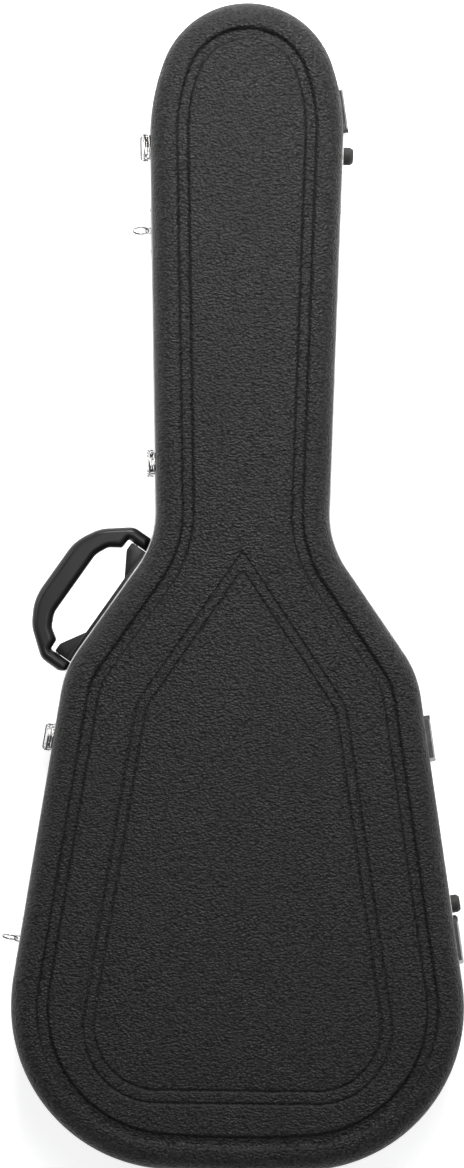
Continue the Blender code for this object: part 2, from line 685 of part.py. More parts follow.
def make_handle():
    frame = handle_frame()
    half = HANDLE_THICKNESS / 2
    near, far = HANDLE_FOOT_ALONG
    outside = [(far, -0.0040, 0.001), (far, 0.0260, 0.014), (0.0580, 0.0520, 0.036), (0.0345, 0.0655, 0.050)]
    inside = [(0.0350, 0.0412, 0.020), (0.0475, 0.0352, 0.010), (0.0550, 0.0240, 0.003), (near, 0.0235, 0.001),
              (near, -0.0040, 0.001)]
    outer = mirrored(outside)
    inner = mirrored(inside)
    loop = outer + inner[5:] + inner[:5]
    quarter = []
    for angle in (0, 30, 60, 90):
        inset = HANDLE_ROUND_SIDE * (1 - math.cos(math.radians(angle)))
        level = half - HANDLE_ROUND_HEIGHT * (1 - math.sin(math.radians(angle)))
        quarter.append((rounded(inset_corners(loop, inset), 3), level))
    sections = [(points, -level) for points, level in reversed(quarter)] + quarter
    rings = [[(x, y, level) for x, y in points] for points, level in sections]
    grip = add_object("handle_grip", loft(rings), "handle_plastic", frame)
    for side, turn in ((-1, UPPER_FOOT_TURN), (1, LOWER_FOOT_TURN)):
        low, high = sorted(side * end for end in (near - 0.0003, far + 0.0003))
        spare = add_object("spare", box((-0.020, low, -0.020), (HANDLE_PIN_OUT, high, 0.020)), frame=frame)
        kept = loft(turned(turn, 32))
        kept.transform(Matrix.Rotation(math.radians(side * 90), 4, "Z"))
        kept.transform(Matrix.Translation((HANDLE_PIN_OUT, 0, 0)))
        combine(spare, add_object("kept", kept, frame=frame))
        combine(grip, spare)

    low_z, high_z = BRACKET_Z
    base = box((-0.006, -BRACKET_HALF_LENGTH, low_z), (BRACKET_THICKNESS, BRACKET_HALF_LENGTH, high_z))
    base = add_object("handle_base", base, "handle_plastic", frame)
    for side in (-1, 1):
        wedge = [(0.0, side * 0.0648), (0.0190, side * 0.0648), (0.0190, side * 0.0560), (0.0040, side * 0.0310),
                 (0.0, side * 0.0310)]
        wedge = prism(wedge, -WEDGE_HALF_HEIGHT, WEDGE_HALF_HEIGHT)
        combine(base, add_object("wedge", wedge, frame=frame), "UNION")
    for name, side in (("handle_pin_upper", -1), ("handle_pin_lower", 1)):
        low, high = sorted(side * end for end in HANDLE_PIN_ALONG)
        hole = cylinder(HANDLE_PIN_RADIUS + GAP, low - 0.0005, high + 0.0005, "y", (HANDLE_PIN_OUT, 0.0), 12)
        copy = hole.copy()
        combine(grip, add_object("hole", hole, frame=frame))
        combine(base, add_object("hole", copy, frame=frame))
        pin = cylinder(HANDLE_PIN_RADIUS, low, high, "y", (HANDLE_PIN_OUT, 0.0), 12)
        add_object(name, pin, "steel", frame)
    trim_to_case(base)


# ---------------------------------------------------------------------------------------- rings and feet

def make_strap_rings():
    for place, (y, lean) in RINGS.items():
        frame = flank_frame(-1, y, RING_Z)
        long, tall = RING_PLATE_HALF_LENGTH, RING_PLATE_HALF_HEIGHT
        ends = [(a * long, b * tall, tall - 0.0005) for a, b in ((-1, -1), (1, -1), (1, 1), (-1, 1))]
        plate = prism(rounded(ends, 3), -0.003, RING_PLATE_THICKNESS, "yz")
        plate = add_object(place + "_ring_plate", plate, "chrome", frame)
        eye = [(0.0012, -0.0032, 0), (0.0070, -0.0032, 0.0022), (0.0070, 0.0032, 0.0022), (0.0012, 0.0032, 0)]
        combine(plate, add_object("eye", prism(rounded(eye, 3), -0.0016, 0.0016), frame=frame), "UNION")
        hole = [(0.0021, -0.0018), (0.0057, -0.0018), (0.0057, 0.0018), (0.0021, 0.0018)]
        combine(plate, add_object("hole", prism(hole, -0.004, 0.004), frame=frame))
        trim_to_case(plate)
        turn = frame @ Matrix.Translation((RING_EYE_OUT, 0, 0)) @ Matrix.Rotation(math.radians(lean), 4, "Z")
        turn = turn @ Matrix.Rotation(math.radians(RING_TILT), 4, "X")
        sections = []
        for i in range(24):
            around = math.radians(15 * i)
            section = []
            for k in range(8):
                tube = math.radians(45 * k)
                reach = RING_RADIUS + RING_WIRE_RADIUS * math.cos(tube)
                section.append((RING_RADIUS + reach * math.cos(around), RING_WIRE_RADIUS * math.sin(tube),
                                reach * math.sin(around)))
            sections.append(section)
        add_object(place + "_strap_ring", loft(sections, section=True), "chrome", turn)


def turned(profile, sides=20):
    """A solid of revolution about X, from (x, radius) points; radius 0 isn't used."""
    rings = []
    for x, radius in profile:
        rings.append([(x, y, z) for y, z in arc((0, 0), radius, 0, 360 - 360 / sides, sides - 1)])
    return rings


def make_feet():
    for place, y in FOOT_Y.items():
        frame = flank_frame(1, y, FOOT_Z)
        hole = FOOT_SCREW_RADIUS + 0.0004
        recess = FOOT_HEIGHT - FOOT_RECESS_DEPTH
        outside = [(-0.002, FOOT_RADIUS), (FOOT_HEIGHT - 0.003, FOOT_RADIUS), (FOOT_HEIGHT - 0.0008, 0.0071),
                   (FOOT_HEIGHT, 0.0058), (FOOT_HEIGHT, FOOT_RECESS_RADIUS), (recess, FOOT_RECESS_RADIUS),
                   (recess, hole), (-0.002, hole)]
        foot = add_object(place + "_foot", loft(turned(outside), section=True), "rubber", frame)
        trim_to_case(foot)
        head_low = recess + GAP
        screw = [(0.0012, FOOT_SCREW_RADIUS), (head_low, FOOT_SCREW_RADIUS), (head_low, 0.0038),
                 (head_low + 0.0012, 0.0036), (head_low + 0.0022, 0.0022)]
        add_object(place + "_foot_screw", loft(turned(screw, 12)), "steel", frame)


def build():
    clear_scene()
    make_shells()
    make_rims()
    make_base_lining()
    make_lid_lining()
    make_inner_fittings()
    make_hinges()
    make_latches()
    make_handle()
    make_strap_rings()
    make_feet()


build()
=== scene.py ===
"""Looks of the hard guitar case: moulded shells, lining, handle and chrome fittings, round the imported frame.

Metres, +Z up. The case lies on its back, the head end towards +Y and the hinges on the +X flank.
"""

import json
import math

import bmesh
import bpy
from mathutils import Matrix, Vector
from mathutils.kdtree import KDTree


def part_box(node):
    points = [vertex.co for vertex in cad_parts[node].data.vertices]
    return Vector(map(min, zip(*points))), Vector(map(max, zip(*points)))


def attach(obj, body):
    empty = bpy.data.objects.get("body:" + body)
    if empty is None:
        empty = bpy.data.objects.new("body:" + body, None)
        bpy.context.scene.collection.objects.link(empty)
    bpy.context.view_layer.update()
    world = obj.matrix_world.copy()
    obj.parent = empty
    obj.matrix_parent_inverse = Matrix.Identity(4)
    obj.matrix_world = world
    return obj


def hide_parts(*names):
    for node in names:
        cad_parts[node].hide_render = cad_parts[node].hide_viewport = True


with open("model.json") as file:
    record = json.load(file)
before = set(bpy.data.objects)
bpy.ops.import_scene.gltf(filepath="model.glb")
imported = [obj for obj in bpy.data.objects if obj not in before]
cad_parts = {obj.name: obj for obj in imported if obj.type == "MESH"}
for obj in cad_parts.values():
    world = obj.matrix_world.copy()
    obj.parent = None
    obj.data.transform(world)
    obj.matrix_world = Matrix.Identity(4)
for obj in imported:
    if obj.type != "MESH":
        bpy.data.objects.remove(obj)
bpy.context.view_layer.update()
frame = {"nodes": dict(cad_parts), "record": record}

# Case outline, right half, as in the part. Angles are the outward normal's, in degrees from +X.
HALF_LENGTH = 0.5625
HEAD_RADIUS = 0.0865
HEAD_EASE_RADIUS = 0.1985
HEAD_EASE_ANGLE = 20.0
NECK_ANGLE = -1.47
FLARE_ANGLE = 34.8
SIDE_ANGLE = 8.85
SHOULDER = Vector((0.1702, -0.0805))
WAIST_RADIUS = 0.090
SHOULDER_RADIUS = 0.100
CORNER_RADIUS = 0.157
CORNER_Y = -0.4033

# Heights, read from the frame.
BASE_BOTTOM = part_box("base_shell")[0].z
LID_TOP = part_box("lid_shell")[1].z
PART_Z = (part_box("lid_rim")[0].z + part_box("base_rim")[1].z) / 2
RIM_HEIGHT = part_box("lid_rim")[1].z - PART_Z
RIM_PROUD = 0.0009
RIM_WIDTH = 0.011
SHELL_WALL = 0.003
FIELD_DROP = 0.0004
CHANNEL_DROP = 0.0038
INSIDE_DROP = 0.0065
SEAM = 0.0003
LINING_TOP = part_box("base_lining")[1].z

# How finely curves are drawn.
ARC_SPACING = 0.005
STRAIGHT_SPACING = 0.018

SQUARE = ((-1, -1), (1, -1), (1, 1), (-1, 1))

# The kite on the lid: two grooves side by side, inside these corners of the outer one.
KITE_APEX_Y = 0.0338
KITE_ELBOW = Vector((0.1001, -0.1127))
KITE_FOOT = Vector((0.1601, -0.4941))
KITE_RADII = (0.003, 0.045, 0.0712)
KITE_SPACING = 0.0097
KITE_FOOT_SHARE = 1.27
GROOVE_HALF_WIDTH = 0.0018
GROOVE_DEPTH = 0.0014


# ---------------------------------------------------------------------------------------- materials

class Nodes:
    """A material's node tree, built one node at a time."""

    def __init__(self, name):
        self.material = bpy.data.materials.new(name)
        self.material.use_nodes = True
        self.tree = self.material.node_tree
        self.shader = self.tree.nodes["Principled BSDF"]

    def put(self, socket, value):
        if isinstance(value, bpy.types.NodeSocket):
            self.tree.links.new(value, socket)
        else:
            socket.default_value = value

    def add(self, kind, output=0, settings=None, **values):
        node = self.tree.nodes.new("ShaderNode" + kind)
        for key, value in (settings or {}).items():
            setattr(node, key, value)
        for key, value in values.items():
            name = key.replace("_", " ")
            socket = node.inputs[int(key[1:])] if key[1:].isdigit() else node.inputs[name]
            self.put(socket, value)
        return node.outputs[output]

    def place(self, stretch=(1.0, 1.0, 1.0)):
        """The point's place on the object, stretched along X, Y and Z."""
        where = self.tree.nodes.new("ShaderNodeTexCoord").outputs["Object"]
        return self.add("Mapping", Vector=where, Scale=stretch)

    def noise(self, where, scale, detail=3.0, roughness=0.55):
        return self.add("TexNoise", Vector=where, Scale=scale, Detail=detail, Roughness=roughness)

    def math(self, operation, first, second):
        return self.add("Math", settings={"operation": operation}, _0=first, _1=second)

    def warp(self, where, scale, amount):
        """Push each place about a little, so that a pattern loses its regularity."""
        push = self.add("TexNoise", 1, Vector=where, Scale=scale, Detail=2.0)
        centred = self.add("VectorMath", settings={"operation": "SUBTRACT"}, _0=push, _1=(0.5, 0.5, 0.5))
        scaled = self.add("VectorMath", settings={"operation": "SCALE"}, _0=centred, Scale=amount)
        return self.add("VectorMath", settings={"operation": "ADD"}, _0=where, _1=scaled)

    def ramp(self, value, low, high, start=0.0, end=1.0):
        """Turn a value into a colour between low and high."""
        node = self.tree.nodes.new("ShaderNodeValToRGB")
        node.color_ramp.elements[0].position = start
        node.color_ramp.elements[1].position = end
        node.color_ramp.elements[0].color = (*low, 1.0)
        node.color_ramp.elements[1].color = (*high, 1.0)
        self.put(node.inputs[0], value)
        return node.outputs[0]

    def span(self, value, low, high, start=0.3, end=0.7):
        """Turn a value between start and end into one between low and high."""
        return self.add("MapRange", Value=value, From_Min=start, From_Max=end, To_Min=low, To_Max=high)

    def bump(self, height, distance, strength=1.0, under=None):
        values = {"Height": height, "Distance": distance, "Strength": strength}
        if under is not None:
            values["Normal"] = under
        return self.add("Bump", **values)

    def finish(self, **values):
        for key, value in values.items():
            self.put(self.shader.inputs[key.replace("_", " ")], value)
        return self.material


def leather_plastic():
    """Vacuum-formed black sheet with a pebbled leather grain."""
    n = Nodes("shell_plastic")
    place = n.place((0.72, 1.0, 1.0))
    cells = n.add("TexVoronoi", settings={"feature": "SMOOTH_F1"}, Vector=n.warp(place, 260.0, 0.0024),
                  Scale=450.0, Smoothness=0.35)
    creases = n.noise(n.warp(place, 140.0, 0.003), 500.0, 3.0, 0.60)
    height = n.math("ADD", n.math("MULTIPLY", cells, -0.9), n.math("MULTIPLY", creases, 1.1))
    pores = n.noise(n.place(), 1500.0, 2.0)
    fine = n.bump(pores, 0.00006, 0.5)
    normal = n.bump(height, 0.0012, 1.0, fine)
    clouds = n.noise(n.place(), 9.0, 4.0)
    # Painted shade: the colour follows the grain's height, so its low creases are painted darker, on top of a
    # random cloudy tone.
    tone = n.math("ADD", n.math("MULTIPLY", clouds, 0.4), height)
    colour = n.ramp(tone, (0.0034, 0.0034, 0.0033), (0.0080, 0.0080, 0.0077), 0.0, 0.70)
    rough = n.span(clouds, 0.42, 0.54)
    shine = n.span(height, 0.17, 0.40, -0.25, 0.55)
    return n.finish(Base_Color=colour, Roughness=rough, Normal=normal, Specular_IOR_Level=shine)


def moulded_plastic():
    """Injection-moulded black plastic with a fine spark-eroded texture."""
    n = Nodes("handle_plastic")
    clouds = n.noise(n.place(), 38.0, 4.0)
    colour = n.ramp(clouds, (0.0045, 0.0045, 0.0045), (0.0090, 0.0090, 0.0088), 0.25, 0.75)
    rough = n.span(clouds, 0.30, 0.42)
    grain = n.noise(n.place(), 2200.0, 2.0)
    normal = n.bump(grain, 0.00006, 0.7)
    return n.finish(Base_Color=colour, Roughness=rough, Normal=normal, Specular_IOR_Level=0.30)


def rubber():
    n = Nodes("rubber")
    clouds = n.noise(n.place(), 120.0, 4.0)
    colour = n.ramp(clouds, (0.010, 0.010, 0.009), (0.022, 0.021, 0.019), 0.25, 0.75)
    rough = n.span(clouds, 0.55, 0.80)
    grain = n.noise(n.place(), 1600.0, 3.0)
    return n.finish(Base_Color=colour, Roughness=rough, Normal=n.bump(grain, 0.00008, 0.6))


def plated(name, low, high, rough_low, rough_high):
    """Polished or brushed plate, with faint handling marks."""
    n = Nodes(name)
    clouds = n.noise(n.place(), 160.0, 3.0)
    scratches = n.noise(n.warp(n.place((1.0, 0.12, 1.0)), 25.0, 0.02), 1400.0, 2.0)
    colour = n.ramp(clouds, low, high, 0.3, 0.7)
    rough = n.span(n.math("MULTIPLY", clouds, n.math("ADD", scratches, 0.5)), rough_low, rough_high)
    normal = n.bump(n.noise(n.place(), 90.0, 2.0), 0.0002, 0.12, n.bump(scratches, 0.00002, 0.25))
    return n.finish(Base_Color=colour, Metallic=1.0, Roughness=rough, Normal=normal)


def anodised_rim():
    """Drawn aluminium: fine lines run along the extrusion, so they vary quickly up its face."""
    n = Nodes("rim_aluminium")
    lines = n.noise(n.place((0.02, 0.02, 1.0)), 3200.0, 3.0)
    clouds = n.noise(n.place(), 45.0, 3.0)
    colour = n.ramp(clouds, (0.62, 0.62, 0.61), (0.80, 0.80, 0.79), 0.3, 0.7)
    rough = n.span(lines, 0.26, 0.42)
    return n.finish(Base_Color=colour, Metallic=1.0, Roughness=rough, Normal=n.bump(lines, 0.00005, 0.4))


def plush():
    """Short-pile charcoal plush: fibres, brushed patches, and a sheen at grazing angles."""
    n = Nodes("plush")
    fibres = n.noise(n.warp(n.place((1.0, 0.45, 1.0)), 160.0, 0.006), 1900.0, 3.0, 0.7)
    tufts = n.noise(n.place(), 420.0, 3.0, 0.65)
    brushed = n.noise(n.warp(n.place((1.0, 0.5, 1.0)), 9.0, 0.12), 14.0, 4.0)
    tone = n.math("ADD", n.math("MULTIPLY", fibres, 0.55), n.math("MULTIPLY", brushed, 0.55))
    colour = n.ramp(tone, (0.030, 0.031, 0.034), (0.105, 0.107, 0.114), 0.25, 0.85)
    height = n.math("ADD", n.math("MULTIPLY", tufts, 0.7), n.math("MULTIPLY", fibres, 0.4))
    n.finish(Sheen_Weight=0.55, Sheen_Roughness=0.45, Sheen_Tint=(0.75, 0.77, 0.82, 1.0))
    rough = n.span(brushed, 0.88, 0.98)
    return n.finish(Base_Color=colour, Roughness=rough, Normal=n.bump(height, 0.0007, 0.8))


def webbing():
    """Woven tape: over and under threads in two directions."""
    n = Nodes("webbing")
    across, along = (n.add("TexWave", settings={"bands_direction": axis}, Vector=n.place(), Scale=420.0,
                           Distortion=0.4) for axis in "XY")
    weave = n.math("MULTIPLY", across, along)
    fuzz = n.noise(n.place(), 1800.0, 2.0)
    height = n.math("ADD", weave, n.math("MULTIPLY", fuzz, 0.3))
    colour = n.ramp(height, (0.012, 0.012, 0.013), (0.045, 0.046, 0.050), 0.1, 1.0)
    n.finish(Sheen_Weight=0.2)
    return n.finish(Base_Color=colour, Roughness=n.span(fuzz, 0.75, 0.9), Normal=n.bump(height, 0.0004, 0.8))


def bead_foam():
    """Expanded foam: fused beads with dark joints."""
    n = Nodes("foam")
    beads = n.add("TexVoronoi", settings={"feature": "DISTANCE_TO_EDGE"}, Vector=n.place(), Scale=260.0)
    tone = n.noise(n.place(), 18.0, 3.0)
    joints = n.ramp(beads, (0.42, 0.38, 0.28), (0.66, 0.61, 0.48), 0.0, 0.12)
    clouds = n.ramp(tone, (0.86, 0.84, 0.80), (1.0, 1.0, 1.0), 0.3, 0.7)
    colour = n.add("Mix", 2, settings={"data_type": "RGBA", "blend_type": "MULTIPLY"}, _0=1.0, _6=joints,
                   _7=clouds)
    return n.finish(Base_Color=colour, Roughness=n.span(tone, 0.85, 0.97), Normal=n.bump(beads, 0.0006, 0.6))


def painted_floor():
    n = Nodes("floor")
    clouds = n.noise(n.place(), 1.6, 3.0)
    colour = n.ramp(clouds, (0.90, 0.90, 0.90), (0.92, 0.92, 0.92), 0.3, 0.7)
    n.finish(Emission_Color=(1.0, 1.0, 1.0, 1.0), Emission_Strength=0.55)
    return n.finish(Base_Color=colour, Roughness=0.9, Specular_IOR_Level=0.1)


MATERIALS = {
    "shell_plastic": leather_plastic(),
    "rim_aluminium": anodised_rim(),
    "foam": bead_foam(),
    "plush": plush(),
    "webbing": webbing(),
    "chrome": plated("chrome", (0.33, 0.325, 0.32), (0.45, 0.44, 0.43), 0.05, 0.14),
    "steel": plated("steel", (0.50, 0.49, 0.48), (0.62, 0.61, 0.60), 0.18, 0.34),
    "handle_plastic": moulded_plastic(),
    "rubber": rubber(),
}


# ---------------------------------------------------------------------------------------- mesh helpers

def piece(name, bm, material, body, replaces=(), place=None, angle=35.0):
    """Turn a bmesh into a finished piece that rides on a body."""
    if place is not None:
        bm.transform(place)
    bmesh.ops.recalc_face_normals(bm, faces=bm.faces)
    bm.normal_update()
    bmesh.ops.triangulate(bm, faces=[face for face in bm.faces if len(face.verts) > 4])
    mesh = bpy.data.meshes.new(name)
    bm.to_mesh(mesh)
    bm.free()
    mesh.materials.append(MATERIALS[material])
    mesh.shade_smooth()
    mesh.set_sharp_from_angle(angle=math.radians(angle))
    obj = bpy.data.objects.new(name, mesh)
    bpy.context.scene.collection.objects.link(obj)
    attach(obj, body)
    if replaces:
        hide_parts(*replaces)
    return obj


def filleted(corners, closed=True, steps=6):
    """A line through corners (a, b, radius), each rounded by its own radius."""
    points = []
    count = len(corners)
    for i, (a, b, radius) in enumerate(corners):
        here = Vector((a, b))
        if radius == 0 or (not closed and i in (0, count - 1)):
            points.append(here)
            continue
        before = (Vector(corners[i - 1][:2]) - here).normalized()
        after = (Vector(corners[(i + 1) % count][:2]) - here).normalized()
        half = before.angle(after) / 2
        reach = radius / math.tan(half)
        centre = here + (before + after).normalized() * radius / math.sin(half)
        first = here + before * reach - centre
        last = here + after * reach - centre
        turn = first.angle_signed(last)
        for k in range(steps + 1):
            points.append(centre + Matrix.Rotation(-turn * k / steps, 2) @ first)
    return points


def skin(bm, rows, closed=False):
    """Faces between rows of vertices of equal count, each row a loop."""
    pairs = list(zip(rows, rows[1:]))
    if closed:
        pairs.append((rows[-1], rows[0]))
    for lower, upper in pairs:
        for i in range(len(lower)):
            j = (i + 1) % len(lower)
            bm.faces.new((lower[i], lower[j], upper[j], upper[i]))


def cap(bm, row):
    """Close a loop of vertices with triangles."""
    face = bm.faces.new(row)
    bm.normal_update()
    bmesh.ops.triangulate(bm, faces=[face])


def loop_edges(bm, row):
    return [bm.edges.get((row[i], row[(i + 1) % len(row)])) for i in range(len(row))]


def prism(points, low, high, plane="xy", bevel=0.0, segments=3, sharp=40.0):
    """Extrude an outline along the axis that its plane leaves out, and round its edges."""
    place = {
        "xy": lambda a, b, c: (a, b, c),
        "xz": lambda a, b, c: (a, c, b),
        "yz": lambda a, b, c: (c, a, b),
    }[plane]
    bm = bmesh.new()
    bottom = [bm.verts.new(place(p[0], p[1], low)) for p in points]
    top = [bm.verts.new(place(p[0], p[1], high)) for p in points]
    bm.faces.new(bottom)
    bm.faces.new(top)
    skin(bm, [bottom, top])
    bmesh.ops.recalc_face_normals(bm, faces=bm.faces)
    return soften(bm, bevel, segments, sharp)


def soften(bm, width, segments=3, sharp=40.0):
    """Round every edge that turns by more than an angle."""
    if width > 0:
        edges = [e for e in bm.edges if len(e.link_faces) == 2 and e.calc_face_angle(0) > math.radians(sharp)]
        bmesh.ops.bevel(bm, geom=edges, offset=width, segments=segments, profile=0.5, affect="EDGES",
                        clamp_overlap=True)
    return bm


def block(low, high, bevel=0.0, segments=3):
    corners = [(low[0], low[1]), (high[0], low[1]), (high[0], high[1]), (low[0], high[1])]
    return prism(corners, low[2], high[2], "xy", bevel, segments)


def merge(*parts):
    """Put several bmeshes into one."""
    whole = parts[0]
    for part in parts[1:]:
        mesh = bpy.data.meshes.new("part")
        part.to_mesh(mesh)
        part.free()
        whole.from_mesh(mesh)
        bpy.data.meshes.remove(mesh)
    return whole


def moved(bm, matrix):
    bm.transform(matrix)
    return bm


def circle(count):
    """The cosine and sine of evenly spaced angles."""
    angles = [2 * math.pi * i / count for i in range(count)]
    return [(math.cos(angle), math.sin(angle)) for angle in angles]


def turned(profile, sides=32):
    """A solid of revolution about X through (x, radius) points, closed at both ends."""
    bm = bmesh.new()
    rows = []
    for x, radius in profile:
        rows.append([bm.verts.new((x, radius * cos, radius * sin)) for cos, sin in circle(sides)])
    skin(bm, rows)
    cap(bm, rows[0])
    cap(bm, rows[-1])
    return bm


def tube(path, radius, sides=10, closed=False):
    """A round tube along a path of points."""
    bm = bmesh.new()
    count = len(path)
    rows = []
    side = None
    for i, here in enumerate(path):
        ahead = path[(i + 1) % count] if closed or i + 1 < count else here
        behind = path[i - 1] if closed or i else here
        along = (ahead - behind).normalized()
        if side is None:
            side = along.orthogonal()
        side = (side - along * side.dot(along)).normalized()
        other = along.cross(side)
        rows.append([bm.verts.new(here + (side * cos + other * sin) * radius) for cos, sin in circle(sides)])
    skin(bm, rows, closed)
    if not closed:
        cap(bm, rows[0])
        cap(bm, rows[-1])
    return bm


def as_object(bm, name="tool"):
    bmesh.ops.recalc_face_normals(bm, faces=bm.faces)
    mesh = bpy.data.meshes.new(name)
    bm.to_mesh(mesh)
    bm.free()
    obj = bpy.data.objects.new(name, mesh)
    bpy.context.scene.collection.objects.link(obj)
    return obj


def as_bmesh(obj):
    """The evaluated mesh of a helper object, which is then removed."""
    graph = bpy.context.evaluated_depsgraph_get()
    mesh = bpy.data.meshes.new_from_object(obj.evaluated_get(graph))
    bm = bmesh.new()
    bm.from_mesh(mesh)
    bpy.data.meshes.remove(mesh)
    bpy.data.objects.remove(obj, do_unlink=True)
    return bm


def cut(bm, tool, operation="DIFFERENCE"):
    """Cut one bmesh with another, or join or cross them."""
    target = as_object(bm)
    other = as_object(tool)
    modifier = target.modifiers.new("cut", "BOOLEAN")
    modifier.operation = operation
    modifier.object = other
    result = as_bmesh(target)
    bpy.data.objects.remove(other, do_unlink=True)
    return result


def remeshed(bm, voxel, passes):
    """An even mesh over a solid, with its edges rubbed down by smoothing passes."""
    obj = as_object(bm)
    remesh = obj.modifiers.new("remesh", "REMESH")
    remesh.mode = "VOXEL"
    remesh.voxel_size = voxel
    smooth = obj.modifiers.new("smooth", "SMOOTH")
    smooth.factor = 0.5
    smooth.iterations = passes
    return as_bmesh(obj)


# ---------------------------------------------------------------------------------------- outline and frames

def normal_of(angle):
    return Vector((math.cos(math.radians(angle)), math.sin(math.radians(angle))))


def crossing(normal_a, offset_a, normal_b, offset_b):
    """The point that lies at both offsets along the two normals."""
    det = normal_a.x * normal_b.y - normal_a.y * normal_b.x
    x = (offset_a * normal_b.y - offset_b * normal_a.y) / det
    y = (normal_a.x * offset_b - normal_b.x * offset_a) / det
    return Vector((x, y))


def outline_arcs():
    """The right half's arcs: centre, radius, start angle, end angle. A radius below 0 is hollow."""
    neck_normal = normal_of(NECK_ANGLE)
    flare_normal = normal_of(FLARE_ANGLE)
    side_normal = normal_of(SIDE_ANGLE)
    head = Vector((0.0, HALF_LENGTH - HEAD_RADIUS))
    ease = head + normal_of(HEAD_EASE_ANGLE) * (HEAD_RADIUS - HEAD_EASE_RADIUS)
    neck = neck_normal.dot(ease) + HEAD_EASE_RADIUS
    flare = flare_normal.dot(SHOULDER)
    side = side_normal.dot(SHOULDER)
    waist = crossing(neck_normal, neck + WAIST_RADIUS, flare_normal, flare + WAIST_RADIUS)
    shoulder = crossing(flare_normal, flare - SHOULDER_RADIUS, side_normal, side - SHOULDER_RADIUS)
    corner = Vector(((side - CORNER_RADIUS - side_normal.y * CORNER_Y) / side_normal.x, CORNER_Y))
    rise = corner.y + HALF_LENGTH
    end_radius = (corner.x ** 2 + rise ** 2 - CORNER_RADIUS ** 2) / (2 * (rise - CORNER_RADIUS))
    end = Vector((0.0, end_radius - HALF_LENGTH))
    end_angle = math.degrees(math.atan2(corner.y - end.y, corner.x))
    return [
        (head, HEAD_RADIUS, 90.0, HEAD_EASE_ANGLE),
        (ease, HEAD_EASE_RADIUS, HEAD_EASE_ANGLE, NECK_ANGLE),
        (waist, -WAIST_RADIUS, NECK_ANGLE, FLARE_ANGLE),
        (shoulder, SHOULDER_RADIUS, FLARE_ANGLE, SIDE_ANGLE),
        (corner, CORNER_RADIUS, SIDE_ANGLE, end_angle),
        (end, end_radius, end_angle, -90.0),
    ]


def case_outline():
    """The closed outline as (point, outward normal) pairs."""
    half = []
    for centre, radius, start, end in outline_arcs():
        steps = max(2, math.ceil(abs(radius * math.radians(end - start)) / ARC_SPACING))
        for i in range(steps + 1):
            normal = normal_of(start + (end - start) * i / steps)
            point = centre + normal * radius
            gap = (point - half[-1][0]).length if half else 0.0
            if half and gap < 1e-6:
                continue
            extra = math.ceil(gap / STRAIGHT_SPACING)
            last = half[-1][0] if half else point
            for k in range(1, extra):
                half.append((last.lerp(point, k / extra), normal))
            half.append((point, normal))
    half[0] = (Vector((0.0, half[0][0].y)), Vector((0.0, 1.0)))
    half[-1] = (Vector((0.0, half[-1][0].y)), Vector((0.0, -1.0)))
    other = [(Vector((-p.x, p.y)), Vector((-n.x, n.y))) for p, n in reversed(half[1:-1])]
    return half + other


OUTLINE = case_outline()


def ring(bm, inset, z):
    """A loop of vertices along the outline, moved in by inset."""
    return [bm.verts.new((p.x - n.x * inset, p.y - n.y * inset, z)) for p, n in OUTLINE]


def standing_frame(point, outward, z):
    """A frame at a point: X points outward, Z up, Y along the rim."""
    out = Vector((outward.x, outward.y, 0.0))
    up = Vector((0.0, 0.0, 1.0))
    place = Matrix((out, up.cross(out), up)).transposed().to_4x4()
    place.translation = Vector((point.x, point.y, z))
    return place


def flank_frame(side, y, z):
    """A frame on the straight neck or the straight side of the right (1) or left (-1) flank."""
    if y > 0:
        normal = normal_of(NECK_ANGLE)
        offset = normal.dot(outline_arcs()[1][0]) + HEAD_EASE_RADIUS
    else:
        normal = normal_of(SIDE_ANGLE)
        offset = normal.dot(SHOULDER)
    x = (offset - normal.y * y) / normal.x
    return standing_frame(Vector((side * x, y)), Vector((side * normal.x, normal.y)), z)


# ---------------------------------------------------------------------------------------- shells and rims

def shell_profile(depth):
    """The outside of a shell: (inset, height over the parting plane), from its edge to the field."""
    return filleted([
        (0.0004, RIM_HEIGHT + SEAM, 0.0),
        (0.0011, depth, 0.0185),
        (0.0252, depth, 0.0034),
        (0.0279, depth - CHANNEL_DROP, 0.0022),
        (0.0357, depth - CHANNEL_DROP, 0.0022),
        (0.0382, depth - FIELD_DROP, 0.0030),
        (0.0430, depth - FIELD_DROP, 0.0),
    ], closed=False, steps=8)


def kite_line(inset):
    """The kite's outline, moved in by inset, as one closed line."""
    apex = Vector((0.0, KITE_APEX_Y))
    roof = (KITE_ELBOW - apex).normalized()
    side = (KITE_FOOT - KITE_ELBOW).normalized()
    roof_normal = Vector((-roof.y, roof.x))
    side_normal = Vector((-side.y, side.x))
    roof_offset = roof_normal.dot(apex) - inset
    side_offset = side_normal.dot(KITE_FOOT) - inset
    foot_y = KITE_FOOT.y + inset * KITE_FOOT_SHARE
    elbow = crossing(roof_normal, roof_offset, side_normal, side_offset)
    foot = crossing(side_normal, side_offset, Vector((0.0, 1.0)), foot_y)
    top_y = roof_offset / roof_normal.y
    tip, bend, corner = KITE_RADII
    right = [(elbow.x, elbow.y, bend - inset), (foot.x, foot.y, corner - inset)]
    left = [(-x, y, radius) for x, y, radius in reversed(right)]
    return filleted([(0.0, top_y, tip)] + right + left, steps=14)


def kite_profile():
    """Across both grooves: (inset, height)."""
    w = GROOVE_HALF_WIDTH
    deep = GROOVE_DEPTH
    groove = [(-w - 0.0012, 0.0), (-w, -0.00005), (-0.72 * w, -0.22 * deep), (-0.42 * w, -0.80 * deep),
              (-0.15 * w, -deep), (0.15 * w, -deep), (0.42 * w, -0.80 * deep), (0.72 * w, -0.22 * deep),
              (w, -0.00005), (w + 0.0012, 0.0)]
    return groove + [(a + KITE_SPACING, b) for a, b in groove]


